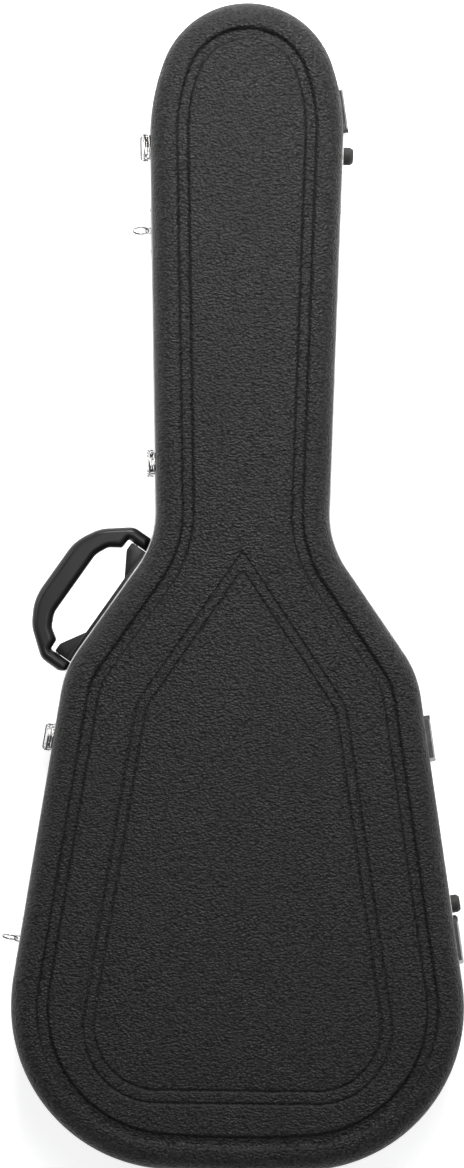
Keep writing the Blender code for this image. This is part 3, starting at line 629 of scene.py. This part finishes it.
def shell_skin(name, node, body, depth, way, kite):
    """A moulded half: rounded flank, crest, channel and flat field outside, and a plain inside."""
    bm = bmesh.new()
    outside = [ring(bm, inset, PART_Z + way * height) for inset, height in shell_profile(depth)]
    inside_profile = filleted([
        (0.0004 + SHELL_WALL, RIM_HEIGHT + SEAM, 0.0),
        (0.0040, depth - INSIDE_DROP, 0.0160),
        (0.0300, depth - INSIDE_DROP, 0.0),
    ], closed=False, steps=6)
    inside = [ring(bm, inset, PART_Z + way * height) for inset, height in inside_profile]
    skin(bm, list(reversed(outside)) + inside)
    cap(bm, inside[-1])
    field_z = PART_Z + way * (depth - FIELD_DROP)
    if kite:
        rows = []
        for inset, height in kite_profile():
            rows.append([bm.verts.new((p.x, p.y, field_z + way * height)) for p in kite_line(inset)])
        skin(bm, rows)
        border = loop_edges(bm, outside[-1]) + loop_edges(bm, rows[0])
        bmesh.ops.triangle_fill(bm, use_beauty=True, edges=border, normal=(0, 0, way))
        cap(bm, rows[-1])
    else:
        cap(bm, outside[-1])
    return piece(name, bm, "shell_plastic", body, [node], angle=50.0)


def rim_bar(name, node, body, way):
    """An aluminium extrusion with rounded edges and a shallow groove along its outer face."""
    low = SEAM / 2
    middle = (low + RIM_HEIGHT) / 2
    section = filleted([
        (RIM_WIDTH, low, 0.0004),
        (-RIM_PROUD, low, 0.0007),
        (-RIM_PROUD, middle - 0.0006, 0.0),
        (-RIM_PROUD + 0.0004, middle, 0.0),
        (-RIM_PROUD, middle + 0.0006, 0.0),
        (-RIM_PROUD, RIM_HEIGHT, 0.0007),
        (RIM_WIDTH, RIM_HEIGHT, 0.0004),
    ], steps=3)
    bm = bmesh.new()
    rows = [ring(bm, point.x, PART_Z + way * point.y) for point in section]
    skin(bm, rows, closed=True)
    return piece(name, bm, "rim_aluminium", body, [node], angle=28.0)


def make_shells():
    shell_skin("lid_moulding", "lid_shell", "lid", LID_TOP - PART_Z, 1, True)
    shell_skin("base_moulding", "base_shell", "base", PART_Z - BASE_BOTTOM, -1, False)
    rim_bar("lid_rim_extrusion", "lid_rim", "lid", 1)
    rim_bar("base_rim_extrusion", "base_rim", "base", -1)


make_shells()


# ---------------------------------------------------------------------------------------- lining

WELL_FLOOR = 0.016
CHANNEL_FLOOR = 0.046
CHANNEL_HALF_WIDTH = 0.058
CHANNEL_Y = (-0.090, 0.5255)
POCKET_HALF_WIDTH = 0.052
POCKET_Y = (0.156, 0.228)
POCKET_FLOOR = 0.018
NECK_REST_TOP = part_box("neck_rest")[1].z
PLUSH_THICKNESS = 0.0016


def guitar_outline(steps=8):
    """The well for the guitar's body: a smooth curve through its widest and narrowest places."""
    right = [(0.000, -0.535), (0.095, -0.528), (0.170, -0.470), (0.187, -0.385), (0.162, -0.295),
             (0.128, -0.225), (0.131, -0.160), (0.145, -0.115), (0.122, -0.066), (0.060, -0.050),
             (0.000, -0.048)]
    knots = [Vector(knot) for knot in right + [(-x, y) for x, y in reversed(right[1:-1])]]
    count = len(knots)
    points = []
    for i in range(count):
        p0, p1, p2, p3 = (knots[(i + k) % count] for k in (-1, 0, 1, 2))
        for k in range(steps):
            t = k / steps
            points.append(0.5 * (2 * p1 + (p2 - p0) * t + (2 * p0 - 5 * p1 + 4 * p2 - p3) * t ** 2
                                 + (3 * p1 - p0 - 3 * p2 + p3) * t ** 3))
    return points


def inset_finder():
    """A function that tells how far a point lies inside the outline."""
    tree = KDTree(len(OUTLINE))
    for i, (point, _) in enumerate(OUTLINE):
        tree.insert((point.x, point.y, 0.0), i)
    tree.balance()

    def inset_of(co):
        index = tree.find((co.x, co.y, 0.0))[1]
        point, normal = OUTLINE[index]
        return (point.x - co.x) * normal.x + (point.y - co.y) * normal.y
    return inset_of


def make_base_lining():
    """The plush over the moulded well: one soft-edged skin, tucked down behind the rim."""
    edge = RIM_WIDTH + SEAM
    foot = 0.008
    bm = bmesh.new()
    rows = [ring(bm, edge, foot), ring(bm, edge, LINING_TOP)]
    skin(bm, rows)
    cap(bm, rows[0])
    cap(bm, rows[1])
    over = LINING_TOP + 0.010
    width = CHANNEL_HALF_WIDTH
    start, end = CHANNEL_Y
    channel = [(-width, start, 0), (width, start, 0), (width, end, width * 0.94), (-width, end, width * 0.94)]
    bm = cut(bm, prism(guitar_outline(), WELL_FLOOR, over))
    bm = cut(bm, prism(filleted(channel, steps=10), CHANNEL_FLOOR, over + 0.001))
    pocket_low = (-POCKET_HALF_WIDTH, POCKET_Y[0], POCKET_FLOOR)
    bm = cut(bm, block(pocket_low, (POCKET_HALF_WIDTH, POCKET_Y[1], CHANNEL_FLOOR + 0.003)))
    bm = remeshed(bm, 0.0034, 7)
    inset_of = inset_finder()
    hidden = []
    for face in bm.faces:
        centre = face.calc_center_median()
        outer = inset_of(centre) < edge + 0.0022 and centre.z < LINING_TOP - 0.007
        if centre.z < foot + 0.004 or outer:
            hidden.append(face)
    bmesh.ops.delete(bm, geom=hidden, context="FACES")
    obj = as_object(bm)
    solid = obj.modifiers.new("thickness", "SOLIDIFY")
    solid.thickness = PLUSH_THICKNESS
    solid.offset = -1.0
    lining = piece("base_plush_lining", as_bmesh(obj), "plush", "base", ["base_lining"], angle=60.0)


def make_lid_lining():
    """The lid's padded tray: a soft roll round the edge and a deep rounded corner under the top."""
    section = filleted([
        (0.0330, 0.0417, 0.0),
        (0.0246, 0.0349, 0.0030),
        (0.0224, 0.0048, 0.0),
        (RIM_WIDTH + SEAM, 0.0047, 0.0),
        (RIM_WIDTH + SEAM, 0.0008, 0.0012),
        (0.0246, 0.0008, 0.0026),
        (0.0272, 0.0395, 0.0120),
        (0.0480, 0.0395, 0.0),
    ], closed=False, steps=8)
    bm = bmesh.new()
    rows = [ring(bm, point.x, PART_Z + point.y) for point in section]
    skin(bm, rows)
    cap(bm, rows[0])
    cap(bm, rows[-1])
    lining = piece("lid_plush_lining", bm, "plush", "lid", ["lid_lining"], angle=60.0)


def puffed(bm, voxel, cap_distance, frames=16):
    """Swell a solid like a stuffed pad by a short cloth simulation, no point moving further than a cap."""
    obj = as_object(remeshed(bm, voxel, 3), "pad")
    start = [vertex.co.copy() for vertex in obj.data.vertices]
    cloth = obj.modifiers.new("cloth", "CLOTH")
    cloth.settings.use_pressure = True
    cloth.settings.uniform_pressure_force = 4.0
    cloth.settings.effector_weights.gravity = 0.0
    cloth.point_cache.frame_start = 1
    cloth.point_cache.frame_end = frames
    for number in range(1, frames + 1):
        bpy.context.scene.frame_set(number)
    swollen = as_bmesh(obj)
    bpy.context.scene.frame_set(1)
    for vertex, place in zip(swollen.verts, start):
        step = vertex.co - place
        if step.length > cap_distance:
            vertex.co = place + step * (cap_distance / step.length)
    bmesh.ops.smooth_vert(swollen, verts=swollen.verts, factor=0.5, use_axis_x=True, use_axis_y=True,
                          use_axis_z=True)
    return swollen


def make_inner_fittings():
    """The neck's cradle, and the accessory pocket's lid with its hinge tape and pull tab."""
    low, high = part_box("neck_rest")
    notch = 0.030
    dip = NECK_REST_TOP - 0.024
    inside = 0.0012
    left, right, floor, top = low.x + inside, high.x - inside, low.z + inside, high.z - inside
    cradle = filleted([(left, floor, 0.003), (right, floor, 0.003), (right, top, 0.006), (notch, top, 0.006),
                       (0.020, dip, 0.012), (-0.020, dip, 0.012), (-notch, top, 0.006), (left, top, 0.006)])
    block_bm = prism(cradle, low.y + inside, high.y - inside, "xz", 0.004, 3, 60.0)
    block_bm = puffed(block_bm, 0.0026, 0.0010)
    rest = piece("neck_rest_pad", block_bm, "plush", "base", ["neck_rest"], angle=80.0)

    low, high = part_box("pocket_lid")
    board = block(low + Vector((0.001, 0.001, 0.0004)), high - Vector((0.001, 0.001, 0.0006)), 0.0018)
    board = puffed(board, 0.0016, 0.0006)
    lid = piece("pocket_lid_pad", board, "plush", "pocket_lid", ["pocket_lid"], angle=80.0)

    low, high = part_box("pocket_hinge_tape")
    tape = block(low, high, 0.0004, 2)
    piece("pocket_hinge_webbing", tape, "webbing", "base", ["pocket_hinge_tape"])
    low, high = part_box("pocket_pull_tab")
    corner = (high.x - low.x) * 0.35
    tab = filleted([(low.x, low.y, corner), (high.x, low.y, corner), (high.x, high.y, 0.001),
                    (low.x, high.y, 0.001)])
    piece("pocket_pull_webbing", prism(tab, low.z, high.z, "xy", 0.0004, 2), "webbing", "pocket_lid",
          ["pocket_pull_tab"])


make_base_lining()
make_lid_lining()
make_inner_fittings()


# ---------------------------------------------------------------------------------------- fittings

def rivet(radius=0.0021, height=0.0009):
    """A low dome on a plate, its flat side at x = 0."""
    profile = [(-0.0003, radius)]
    for i in range(6):
        angle = math.radians(90 * i / 6)
        profile.append((height * math.sin(angle), radius * math.cos(angle)))
    return turned(profile, 24)


def rivets(places, **size):
    """Rivets at (x, y, z) places in one mesh."""
    return merge(*[moved(rivet(**size), Matrix.Translation(place)) for place in places])


LATCH_Y = {"head": 0.4265, "neck": 0.1200, "body": -0.1480}
LATCH_PIN_OUT = 0.0060
LATCH_PIN_DROP = 0.0080
LATCH_PIN_RADIUS = 0.0011
LATCH_BORE_RADIUS = 0.0014
LEVER_HALF_WIDTH = 0.0130
LEVER_WALL = 0.0013
LEVER_FACE = 0.0105
PLATE_FACE = 0.0014
SPRING_WIRE_RADIUS = 0.00030
SPRING_RADIUS = 0.00145
SPRING_TURNS = 10
SPRING_HALF_LENGTH = 0.0044
CUTTER_REACH = 0.020


def latch_arc(radius, start, end, steps=10):
    """Part of a circle round the lever pin, seen along the rim."""
    points = []
    for i in range(steps + 1):
        angle = math.radians(start + (end - start) * i / steps)
        out = LATCH_PIN_OUT + radius * math.cos(angle)
        points.append(Vector((out, radius * math.sin(angle) - LATCH_PIN_DROP)))
    return points


def latch_bar(radius, half_length, sides=24):
    """A round bar along the lever pin."""
    return prism(latch_arc(radius, 0, 360 - 360 / sides, sides - 1), -half_length, half_length, "xz")


def latch_lever():
    """A pressed channel, open towards the case, that hangs from the pin by its two cheeks."""
    wide, wall, web = LEVER_HALF_WIDTH, LEVER_WALL, LEVER_FACE
    outer = [(-0.001, -wide, 0), (web, -wide, 0.0034), (web, wide, 0.0034), (-0.001, wide, 0)]
    inner = [(-0.001, wide - wall, 0), (web - wall, wide - wall, 0.0021), (web - wall, wall - wide, 0.0021),
             (-0.001, wall - wide, 0)]
    channel = prism(filleted(outer + inner, steps=8), -0.0440, 0.0)
    side_view = [(web, -0.0120), (web, -0.0396), (0.0101, -0.0413), (0.0092, -0.0419), (0.0034, -0.0404),
                 (0.0024, -0.0396), (0.0024, -0.0200)]
    side_view = [Vector(point) for point in side_view] + latch_arc(0.0029, 190, 20)
    lever = cut(channel, prism(side_view, -CUTTER_REACH, CUTTER_REACH, "xz"), "INTERSECT")
    window = [(0.0070, -0.0118), (0.0070, 0.0), (0.0120, 0.0), (0.0120, -0.0118)]
    lever = cut(lever, prism(window, wall - wide, wide - wall, "xz"))
    lever = cut(lever, latch_bar(LATCH_BORE_RADIUS, CUTTER_REACH))
    return soften(lever, 0.00035, 2, 50.0)


def latch_hook():
    """A strap with a rolled lip over the keeper and two eyes on the pin."""
    inner, outer = LATCH_PIN_OUT - 0.0007, LATCH_PIN_OUT + 0.0007
    profile = filleted([
        (inner, -0.0080, 0),
        (inner, 0.0111, 0.0003),
        (0.0041, 0.0111, 0.0),
        (0.0041, 0.0125, 0.0003),
        (outer, 0.0125, 0.0016),
        (outer, -0.0080, 0),
    ], steps=5)
    hook = prism(profile, -0.0088, 0.0088, "xz")
    hook = cut(hook, latch_bar(0.0023, 0.0086), "UNION")
    hook = cut(hook, block((0.0, -0.0058, -0.0120), (0.010, 0.0058, -0.0046)))
    hook = cut(hook, latch_bar(LATCH_BORE_RADIUS, CUTTER_REACH))
    return soften(hook, 0.00025, 2, 50.0)


def latch_keeper():
    """A plate on the lid with a turned-up ledge, under the hook's lip."""
    profile = filleted([
        (-0.0004, 0.0058, 0),
        (0.0014, 0.0058, 0.0003),
        (0.0014, 0.0070, 0.0003),
        (0.0037, 0.0070, 0.0010),
        (0.0037, 0.0102, 0.0003),
        (0.0029, 0.0102, 0.0003),
        (0.0029, 0.0084, 0.0003),
        (0.0014, 0.0084, 0.0003),
        (0.0014, 0.0215, 0.0008),
        (-0.0004, 0.0215, 0),
    ], steps=4)
    return prism(profile, -0.0090, 0.0090, "xz", 0.0003, 2, 60.0)


def latch_plate():
    """The base plate and its two ears, which hold the lever pin."""
    outline = filleted([(-0.0120, -0.0380, 0.003), (0.0120, -0.0380, 0.003), (0.0120, -0.0056, 0.0008),
                        (-0.0120, -0.0056, 0.0008)])
    plate = prism(outline, -0.0004, PLATE_FACE, "yz", 0.0003, 2)
    ear = [Vector((0.0002, -0.0060)), Vector((0.0002, -0.0180)), Vector((0.0016, -0.0180))]
    parts = [plate]
    for side in (-1, 1):
        inner, outer = sorted((side * 0.0094, side * 0.0108))
        cheek = prism(ear + latch_arc(0.0026, -50, 90), inner, outer, "xz")
        parts.append(soften(cut(cheek, latch_bar(LATCH_BORE_RADIUS, CUTTER_REACH)), 0.00025, 2, 50.0))
    return merge(*parts)


def latch_spring():
    """A coil round the pin, with one leg down to the plate."""
    reach, half = SPRING_RADIUS, SPRING_HALF_LENGTH
    steps = 16 * SPRING_TURNS
    path = [Vector((0.0022, -half, -0.0170))]
    for i in range(steps + 1):
        angle = math.radians(180) + 2 * math.pi * i * SPRING_TURNS / steps
        path.append(Vector((LATCH_PIN_OUT + reach * math.cos(angle), -half + 2 * half * i / steps,
                            reach * math.sin(angle) - LATCH_PIN_DROP)))
    return tube(path, SPRING_WIRE_RADIUS, 8)


def make_latches():
    for place, y in LATCH_Y.items():
        at = flank_frame(-1, y, PART_Z)
        name = place + "_latch_"
        piece(name + "channel", latch_lever(), "chrome", name + "lever", [name + "lever"], at)
        piece(name + "strap", latch_hook(), "chrome", name + "hook", [name + "hook"], at)
        piece(name + "catch", latch_keeper(), "chrome", "lid", [name + "keeper"], at)
        piece(name + "back_plate", latch_plate(), "chrome", "base", [name + "plate"], at)
        piece(name + "coil", latch_spring(), "steel", "base", [name + "spring"], at)
        pin = soften(latch_bar(LATCH_PIN_RADIUS, 0.0128), 0.0003, 2)
        piece(name + "axle", pin, "steel", "base", [name + "pin"], at)
        heads = rivets([(PLATE_FACE, side * 0.0070, z) for side in (-1, 1) for z in (-0.0240, -0.0330)])
        piece(name + "plate_rivets", heads, "steel", "base", place=at)
        heads = rivets([(PLATE_FACE, side * 0.0052, 0.0158) for side in (-1, 1)])
        piece(name + "catch_rivets", heads, "steel", "lid", place=at)


RING_Y = {"upper": 0.3470, "lower": -0.3446}
RING_TILT = 20.0
RING_RADIUS = 0.0074
RING_WIRE_RADIUS = 0.0008
RING_EYE_OUT = 0.0039
RING_Z = 0.080
RING_PLATE_FACE = 0.0015


def make_strap_rings():
    """Each plate carries an eye, and its ring stands out from the eye, tilted about its own length."""
    for place, y in RING_Y.items():
        at = flank_frame(-1, y, RING_Z)
        ends = filleted([(side * 0.028, up * 0.0055, 0.0054) for side, up in SQUARE], steps=10)
        plate = prism(ends, -0.0012, RING_PLATE_FACE, "yz", 0.0006, 3)
        outer = [(0.0010, -0.0032, 0), (0.0070, -0.0032, 0.0026), (0.0070, 0.0032, 0.0026),
                 (0.0010, 0.0032, 0)]
        inner = [(0.0010, 0.0018, 0), (0.0057, 0.0018, 0.0013), (0.0057, -0.0018, 0.0013),
                 (0.0010, -0.0018, 0)]
        eye = prism(filleted(outer + inner, steps=8), -0.0016, 0.0016, "xy", 0.0004, 3, 60.0)
        piece(place + "_strap_plate", merge(plate, eye), "chrome", "base", [place + "_ring_plate"], at)
        heads = rivets([(RING_PLATE_FACE, side * 0.0200, 0.0) for side in (-1, 1)])
        piece(place + "_strap_plate_rivets", heads, "steel", "base", place=at)
        turn = at @ Matrix.Translation((RING_EYE_OUT, 0, 0))
        turn = turn @ Matrix.Rotation(math.radians(RING_TILT), 4, "X")
        path = [Vector((RING_RADIUS + RING_RADIUS * cos, 0.0, RING_RADIUS * sin)) for cos, sin in circle(64)]
        piece(place + "_round_ring", tube(path, RING_WIRE_RADIUS, 14, closed=True), "chrome", place + "_ring",
              [place + "_strap_ring"], turn)


FOOT_Y = {"upper": 0.4250, "lower": -0.3092}
FOOT_Z = 0.050
FOOT_RADIUS = 0.00875
FOOT_HEIGHT = 0.0118


def make_feet():
    for place, y in FOOT_Y.items():
        at = flank_frame(1, y, FOOT_Z)
        side_view = filleted([
            (-0.0010, FOOT_RADIUS, 0.0),
            (FOOT_HEIGHT - 0.0030, FOOT_RADIUS, 0.0012),
            (FOOT_HEIGHT, 0.0066, 0.0012),
            (FOOT_HEIGHT, 0.0042, 0.0004),
            (FOOT_HEIGHT - 0.0035, 0.0042, 0.0),
            (FOOT_HEIGHT - 0.0035, 0.0022, 0.0),
        ], closed=False, steps=5)
        piece(place + "_bumper", turned(side_view, 48), "rubber", "base", [place + "_foot"], at)
        low = FOOT_HEIGHT - 0.0032
        head = turned([(low, 0.0038), (low + 0.0008, 0.0038), (low + 0.0015, 0.0033), (low + 0.0020, 0.0022),
                       (low + 0.0022, 0.0008)], 28)
        for tall, wide in ((0.0026, 0.0005), (0.0005, 0.0026)):
            head = cut(head, block((low + 0.0011, -wide, -tall), (low + 0.004, wide, tall)))
        piece(place + "_bumper_screw", head, "steel", "base", [place + "_foot_screw"], at)


HINGE_Y = {"head": 0.4630, "shoulder": -0.1435, "bout": -0.3386}
HINGE_LINE = (Vector((0.0945, 0.4620)), Vector((0.2145, -0.3386)))
HINGE_LENGTH = 0.045
HINGE_PIN_RADIUS = 0.0007


def make_hinges():
    """Leaves keep their solids, with rounded edges; pins get domed ends, and each leaf its rivets."""
    start, end = HINGE_LINE
    along = (start - end).normalized()
    for place, y in HINGE_Y.items():
        at = standing_frame(end + along * ((y - end.y) / along.y), Vector((along.y, -along.x)), PART_Z)
        half = HINGE_LENGTH / 2
        radius = HINGE_PIN_RADIUS
        ends = [(-half, radius * 0.5), (0.0002 - half, radius), (half - 0.0002, radius), (half, radius * 0.5)]
        pin = moved(turned(ends, 20), Matrix.Rotation(math.radians(90), 4, "Z"))
        piece(place + "_hinge_axle", pin, "steel", "base", [place + "_hinge_pin"], at)
        for leaf, body, way in (("lid", "lid", 1), ("base", "base", -1)):
            heads = rivets([(0.0002, side * 0.0150, way * 0.0110) for side in (-1, 0, 1)], radius=0.0019,
                           height=0.0007)
            piece(place + "_hinge_" + leaf + "_rivets", heads, "steel", body, place=at)
            leaf_node = frame["nodes"][place + "_hinge_" + leaf + "_leaf"]
            edge = leaf_node.modifiers.new("edge", "BEVEL")
            edge.width = 0.0003
            edge.segments = 2
            edge.limit_method = "ANGLE"
            edge.angle_limit = math.radians(50)


# ---------------------------------------------------------------------------------------- handle

HANDLE_ALONG = 0.0803
HANDLE_PIN_OUT = 0.015
HANDLE_Z = 0.076
HANDLE_THICKNESS = 0.019
HANDLE_ROUND_SIDE = 0.0058
HANDLE_ROUND_HEIGHT = 0.0080
HANDLE_PIN_RADIUS = 0.0024
HANDLE_FOOT_ALONG = (0.0655, 0.0785)

# The turned ends of the feet: (distance along the pin, radius).
UPPER_FOOT_TURN = ((0.0650, 0.0132), (0.0765, 0.0102), (0.0790, 0.0082))
LOWER_FOOT_TURN = ((0.0650, 0.0152), (0.0715, 0.0162), (0.0745, 0.0156), (0.0768, 0.0128), (0.0790, 0.0085))


def handle_frame():
    """A frame at the handle's foot on the left flare: X outward, Y along the flare."""
    waist = outline_arcs()[2][0]
    neck_normal = normal_of(NECK_ANGLE)
    out = normal_of(FLARE_ANGLE)
    start = crossing(neck_normal, neck_normal.dot(waist) - WAIST_RADIUS, out, out.dot(SHOULDER))
    at = start + Vector((out.y, -out.x)) * HANDLE_ALONG
    return standing_frame(Vector((-at.x, at.y)), Vector((-out.x, out.y)), HANDLE_Z)


def inset_corners(corners, inset):
    """A clockwise outline's corners (x, y, radius), moved in by inset, with radii that keep it parallel."""
    result = []
    for i, (x, y, radius) in enumerate(corners):
        here = Vector((x, y))
        before = (here - Vector(corners[i - 1][:2])).normalized()
        after = (Vector(corners[(i + 1) % len(corners)][:2]) - here).normalized()
        inward = Vector((before.y, -before.x)) + Vector((after.y, -after.x))
        point = here + inward * inset / (1 + before.dot(after))
        grown = radius + inset if before.cross(after) > 0 else max(radius - inset, 0.0005)
        result.append((point.x, point.y, grown))
    return result


def mirrored(corners):
    """A side view with its other half: (along, out, radius) turned into (out, along, radius)."""
    near = [(out, along, radius) for along, out, radius in corners]
    far = [(out, -along, radius) for along, out, radius in reversed(corners)]
    return near + far


def make_grip():
    """The loop: its outline rounded over towards both faces, with feet turned to swing clear of the case."""
    half = HANDLE_THICKNESS / 2
    near, far = HANDLE_FOOT_ALONG
    outside = [(far, -0.0040, 0.001), (far, 0.0260, 0.014), (0.0580, 0.0520, 0.036), (0.0345, 0.0655, 0.050)]
    inside = [(0.0350, 0.0412, 0.020), (0.0475, 0.0352, 0.010), (0.0550, 0.0240, 0.003),
              (near, 0.0235, 0.001), (near, -0.0040, 0.001)]
    inner = mirrored(inside)
    loop = mirrored(outside) + inner[5:] + inner[:5]
    quarter = []
    for angle in range(0, 91, 10):
        inset = HANDLE_ROUND_SIDE * (1 - math.cos(math.radians(angle)))
        level = half - HANDLE_ROUND_HEIGHT * (1 - math.sin(math.radians(angle)))
        quarter.append((filleted(inset_corners(loop, inset), steps=8), level))
    grip = bmesh.new()
    levels = [(points, -level) for points, level in reversed(quarter)] + quarter
    rings = [[grip.verts.new((*point[:2], level)) for point in points] for points, level in levels]
    skin(grip, rings)
    cap(grip, rings[0])
    cap(grip, rings[-1])
    for side, turn in ((-1, UPPER_FOOT_TURN), (1, LOWER_FOOT_TURN)):
        low, high = sorted(side * end for end in (near - 0.0003, far + 0.0003))
        spare = block((-0.020, low, -0.020), (HANDLE_PIN_OUT, high, 0.020))
        place = Matrix.Translation((HANDLE_PIN_OUT, 0, 0)) @ Matrix.Rotation(math.radians(side * 90), 4, "Z")
        grip = cut(grip, cut(spare, moved(turned(turn, 48), place)))
    return remeshed(grip, 0.0009, 3)


def make_handle():
    at = handle_frame()
    piece("handle_loop", make_grip(), "handle_plastic", "handle", ["handle_grip"], at, angle=60.0)
    parts = [block((-0.0004, -0.0640, -0.0150), (0.0045, 0.0640, 0.0160), 0.0009)]
    for side in (-1, 1):
        wedge = filleted([
            (0.0010, side * 0.0648, 0.0),
            (0.0190, side * 0.0648, 0.0016),
            (0.0190, side * 0.0560, 0.003),
            (0.0040, side * 0.0310, 0.004),
            (0.0010, side * 0.0310, 0.0),
        ])
        parts.append(prism(wedge, -0.0060, 0.0060, "xy", 0.0008, 3, 50.0))
    piece("handle_bracket", merge(*parts), "handle_plastic", "base", ["handle_base"], at)
    for name, side in (("handle_pin_upper", -1), ("handle_pin_lower", 1)):
        radius = HANDLE_PIN_RADIUS
        ends = [(0.0560, radius * 0.8), (0.0564, radius), (0.0741, radius), (0.0745, radius * 0.8)]
        pin = moved(turned(ends, 28), Matrix.Rotation(math.radians(side * 90), 4, "Z"))
        place = at @ Matrix.Translation((HANDLE_PIN_OUT, 0, 0))
        piece(name.replace("pin", "axle"), pin, "steel", "base", [name], place)


make_latches()
make_strap_rings()
make_feet()
make_hinges()
make_handle()


# ---------------------------------------------------------------------------------------- stage

def area_light(name, place, target, size, power):
    light = bpy.data.lights.new(name, "AREA")
    light.shape = "RECTANGLE"
    light.size, light.size_y = size
    light.energy = power
    obj = bpy.data.objects.new(name, light)
    bpy.context.scene.collection.objects.link(obj)
    obj.location = place
    obj.rotation_euler = (Vector(target) - Vector(place)).to_track_quat("-Z", "Y").to_euler()


FLOOR_REACH = 40.0

# Name, place, target, size and power.
LIGHTS = [
    ("key", (-2.0, 0.75, 1.5), (0.0, 0.1, 0.1), (1.0, 0.9), 25.0),
    ("fill", (2.0, 0.65, 1.5), (0.0, 0.1, 0.1), (1.2, 1.0), 27.0),
    ("foot", (0.1, -2.6, 1.2), (0.0, -0.2, 0.1), (1.6, 1.0), 7.0),
    ("top", (0.10, 0.24, 1.70), (0.04, 0.24, 0.1), (0.5, 0.5), 8.0),
    ("head", (0.05, 1.45, 1.05), (0.0, 0.10, 0.1), (0.7, 0.4), 36.0),
]


def make_stage():
    """A wide pale floor, soft lights on both sides, one over the neck and one past each end."""
    bm = bmesh.new()
    bm.faces.new([bm.verts.new((x * FLOOR_REACH, y * FLOOR_REACH, BASE_BOTTOM)) for x, y in SQUARE])
    floor = as_object(bm, "floor")
    floor.data.materials.append(painted_floor())
    for light in LIGHTS:
        area_light(*light)
    world = bpy.data.worlds.new("studio")
    world.use_nodes = True
    sky = world.node_tree.nodes["Background"]
    sky.inputs["Color"].default_value = (0.96, 0.97, 1.0, 1.0)
    sky.inputs["Strength"].default_value = 0.2
    bpy.context.scene.world = world
    bpy.context.scene.view_settings.view_transform = "Standard"


CAMERA_HEIGHT = 3.6
CAMERA_CENTRE = Vector((-0.0097, 0.0034))
CAMERA_ROLL = 0.62
VIEW_HEIGHT = 1.1260
VIEW_PLANE = 0.12


def make_camera():
    data = bpy.data.cameras.new("camera")
    data.sensor_width = 36.0
    data.lens = data.sensor_width * CAMERA_HEIGHT / VIEW_HEIGHT
    data.clip_end = 100.0
    camera = bpy.data.objects.new("camera", data)
    bpy.context.scene.collection.objects.link(camera)
    camera.location = (CAMERA_CENTRE.x, CAMERA_CENTRE.y, VIEW_PLANE + CAMERA_HEIGHT)
    camera.rotation_euler = (0.0, 0.0, math.radians(CAMERA_ROLL))
    bpy.context.scene.camera = camera


def paint_frame():
    """Give every carried-over node the material of its slot in the record."""
    slots = {node: entry["slot"] for entry in frame["record"]["materials"] for node in entry.get("nodes", [])}
    for name, obj in frame["nodes"].items():
        material = MATERIALS[slots.get(name, obj.data.materials[0].name.split(".")[0])]
        obj.data.materials.clear()
        obj.data.materials.append(material)


paint_frame()
make_stage()
make_camera()
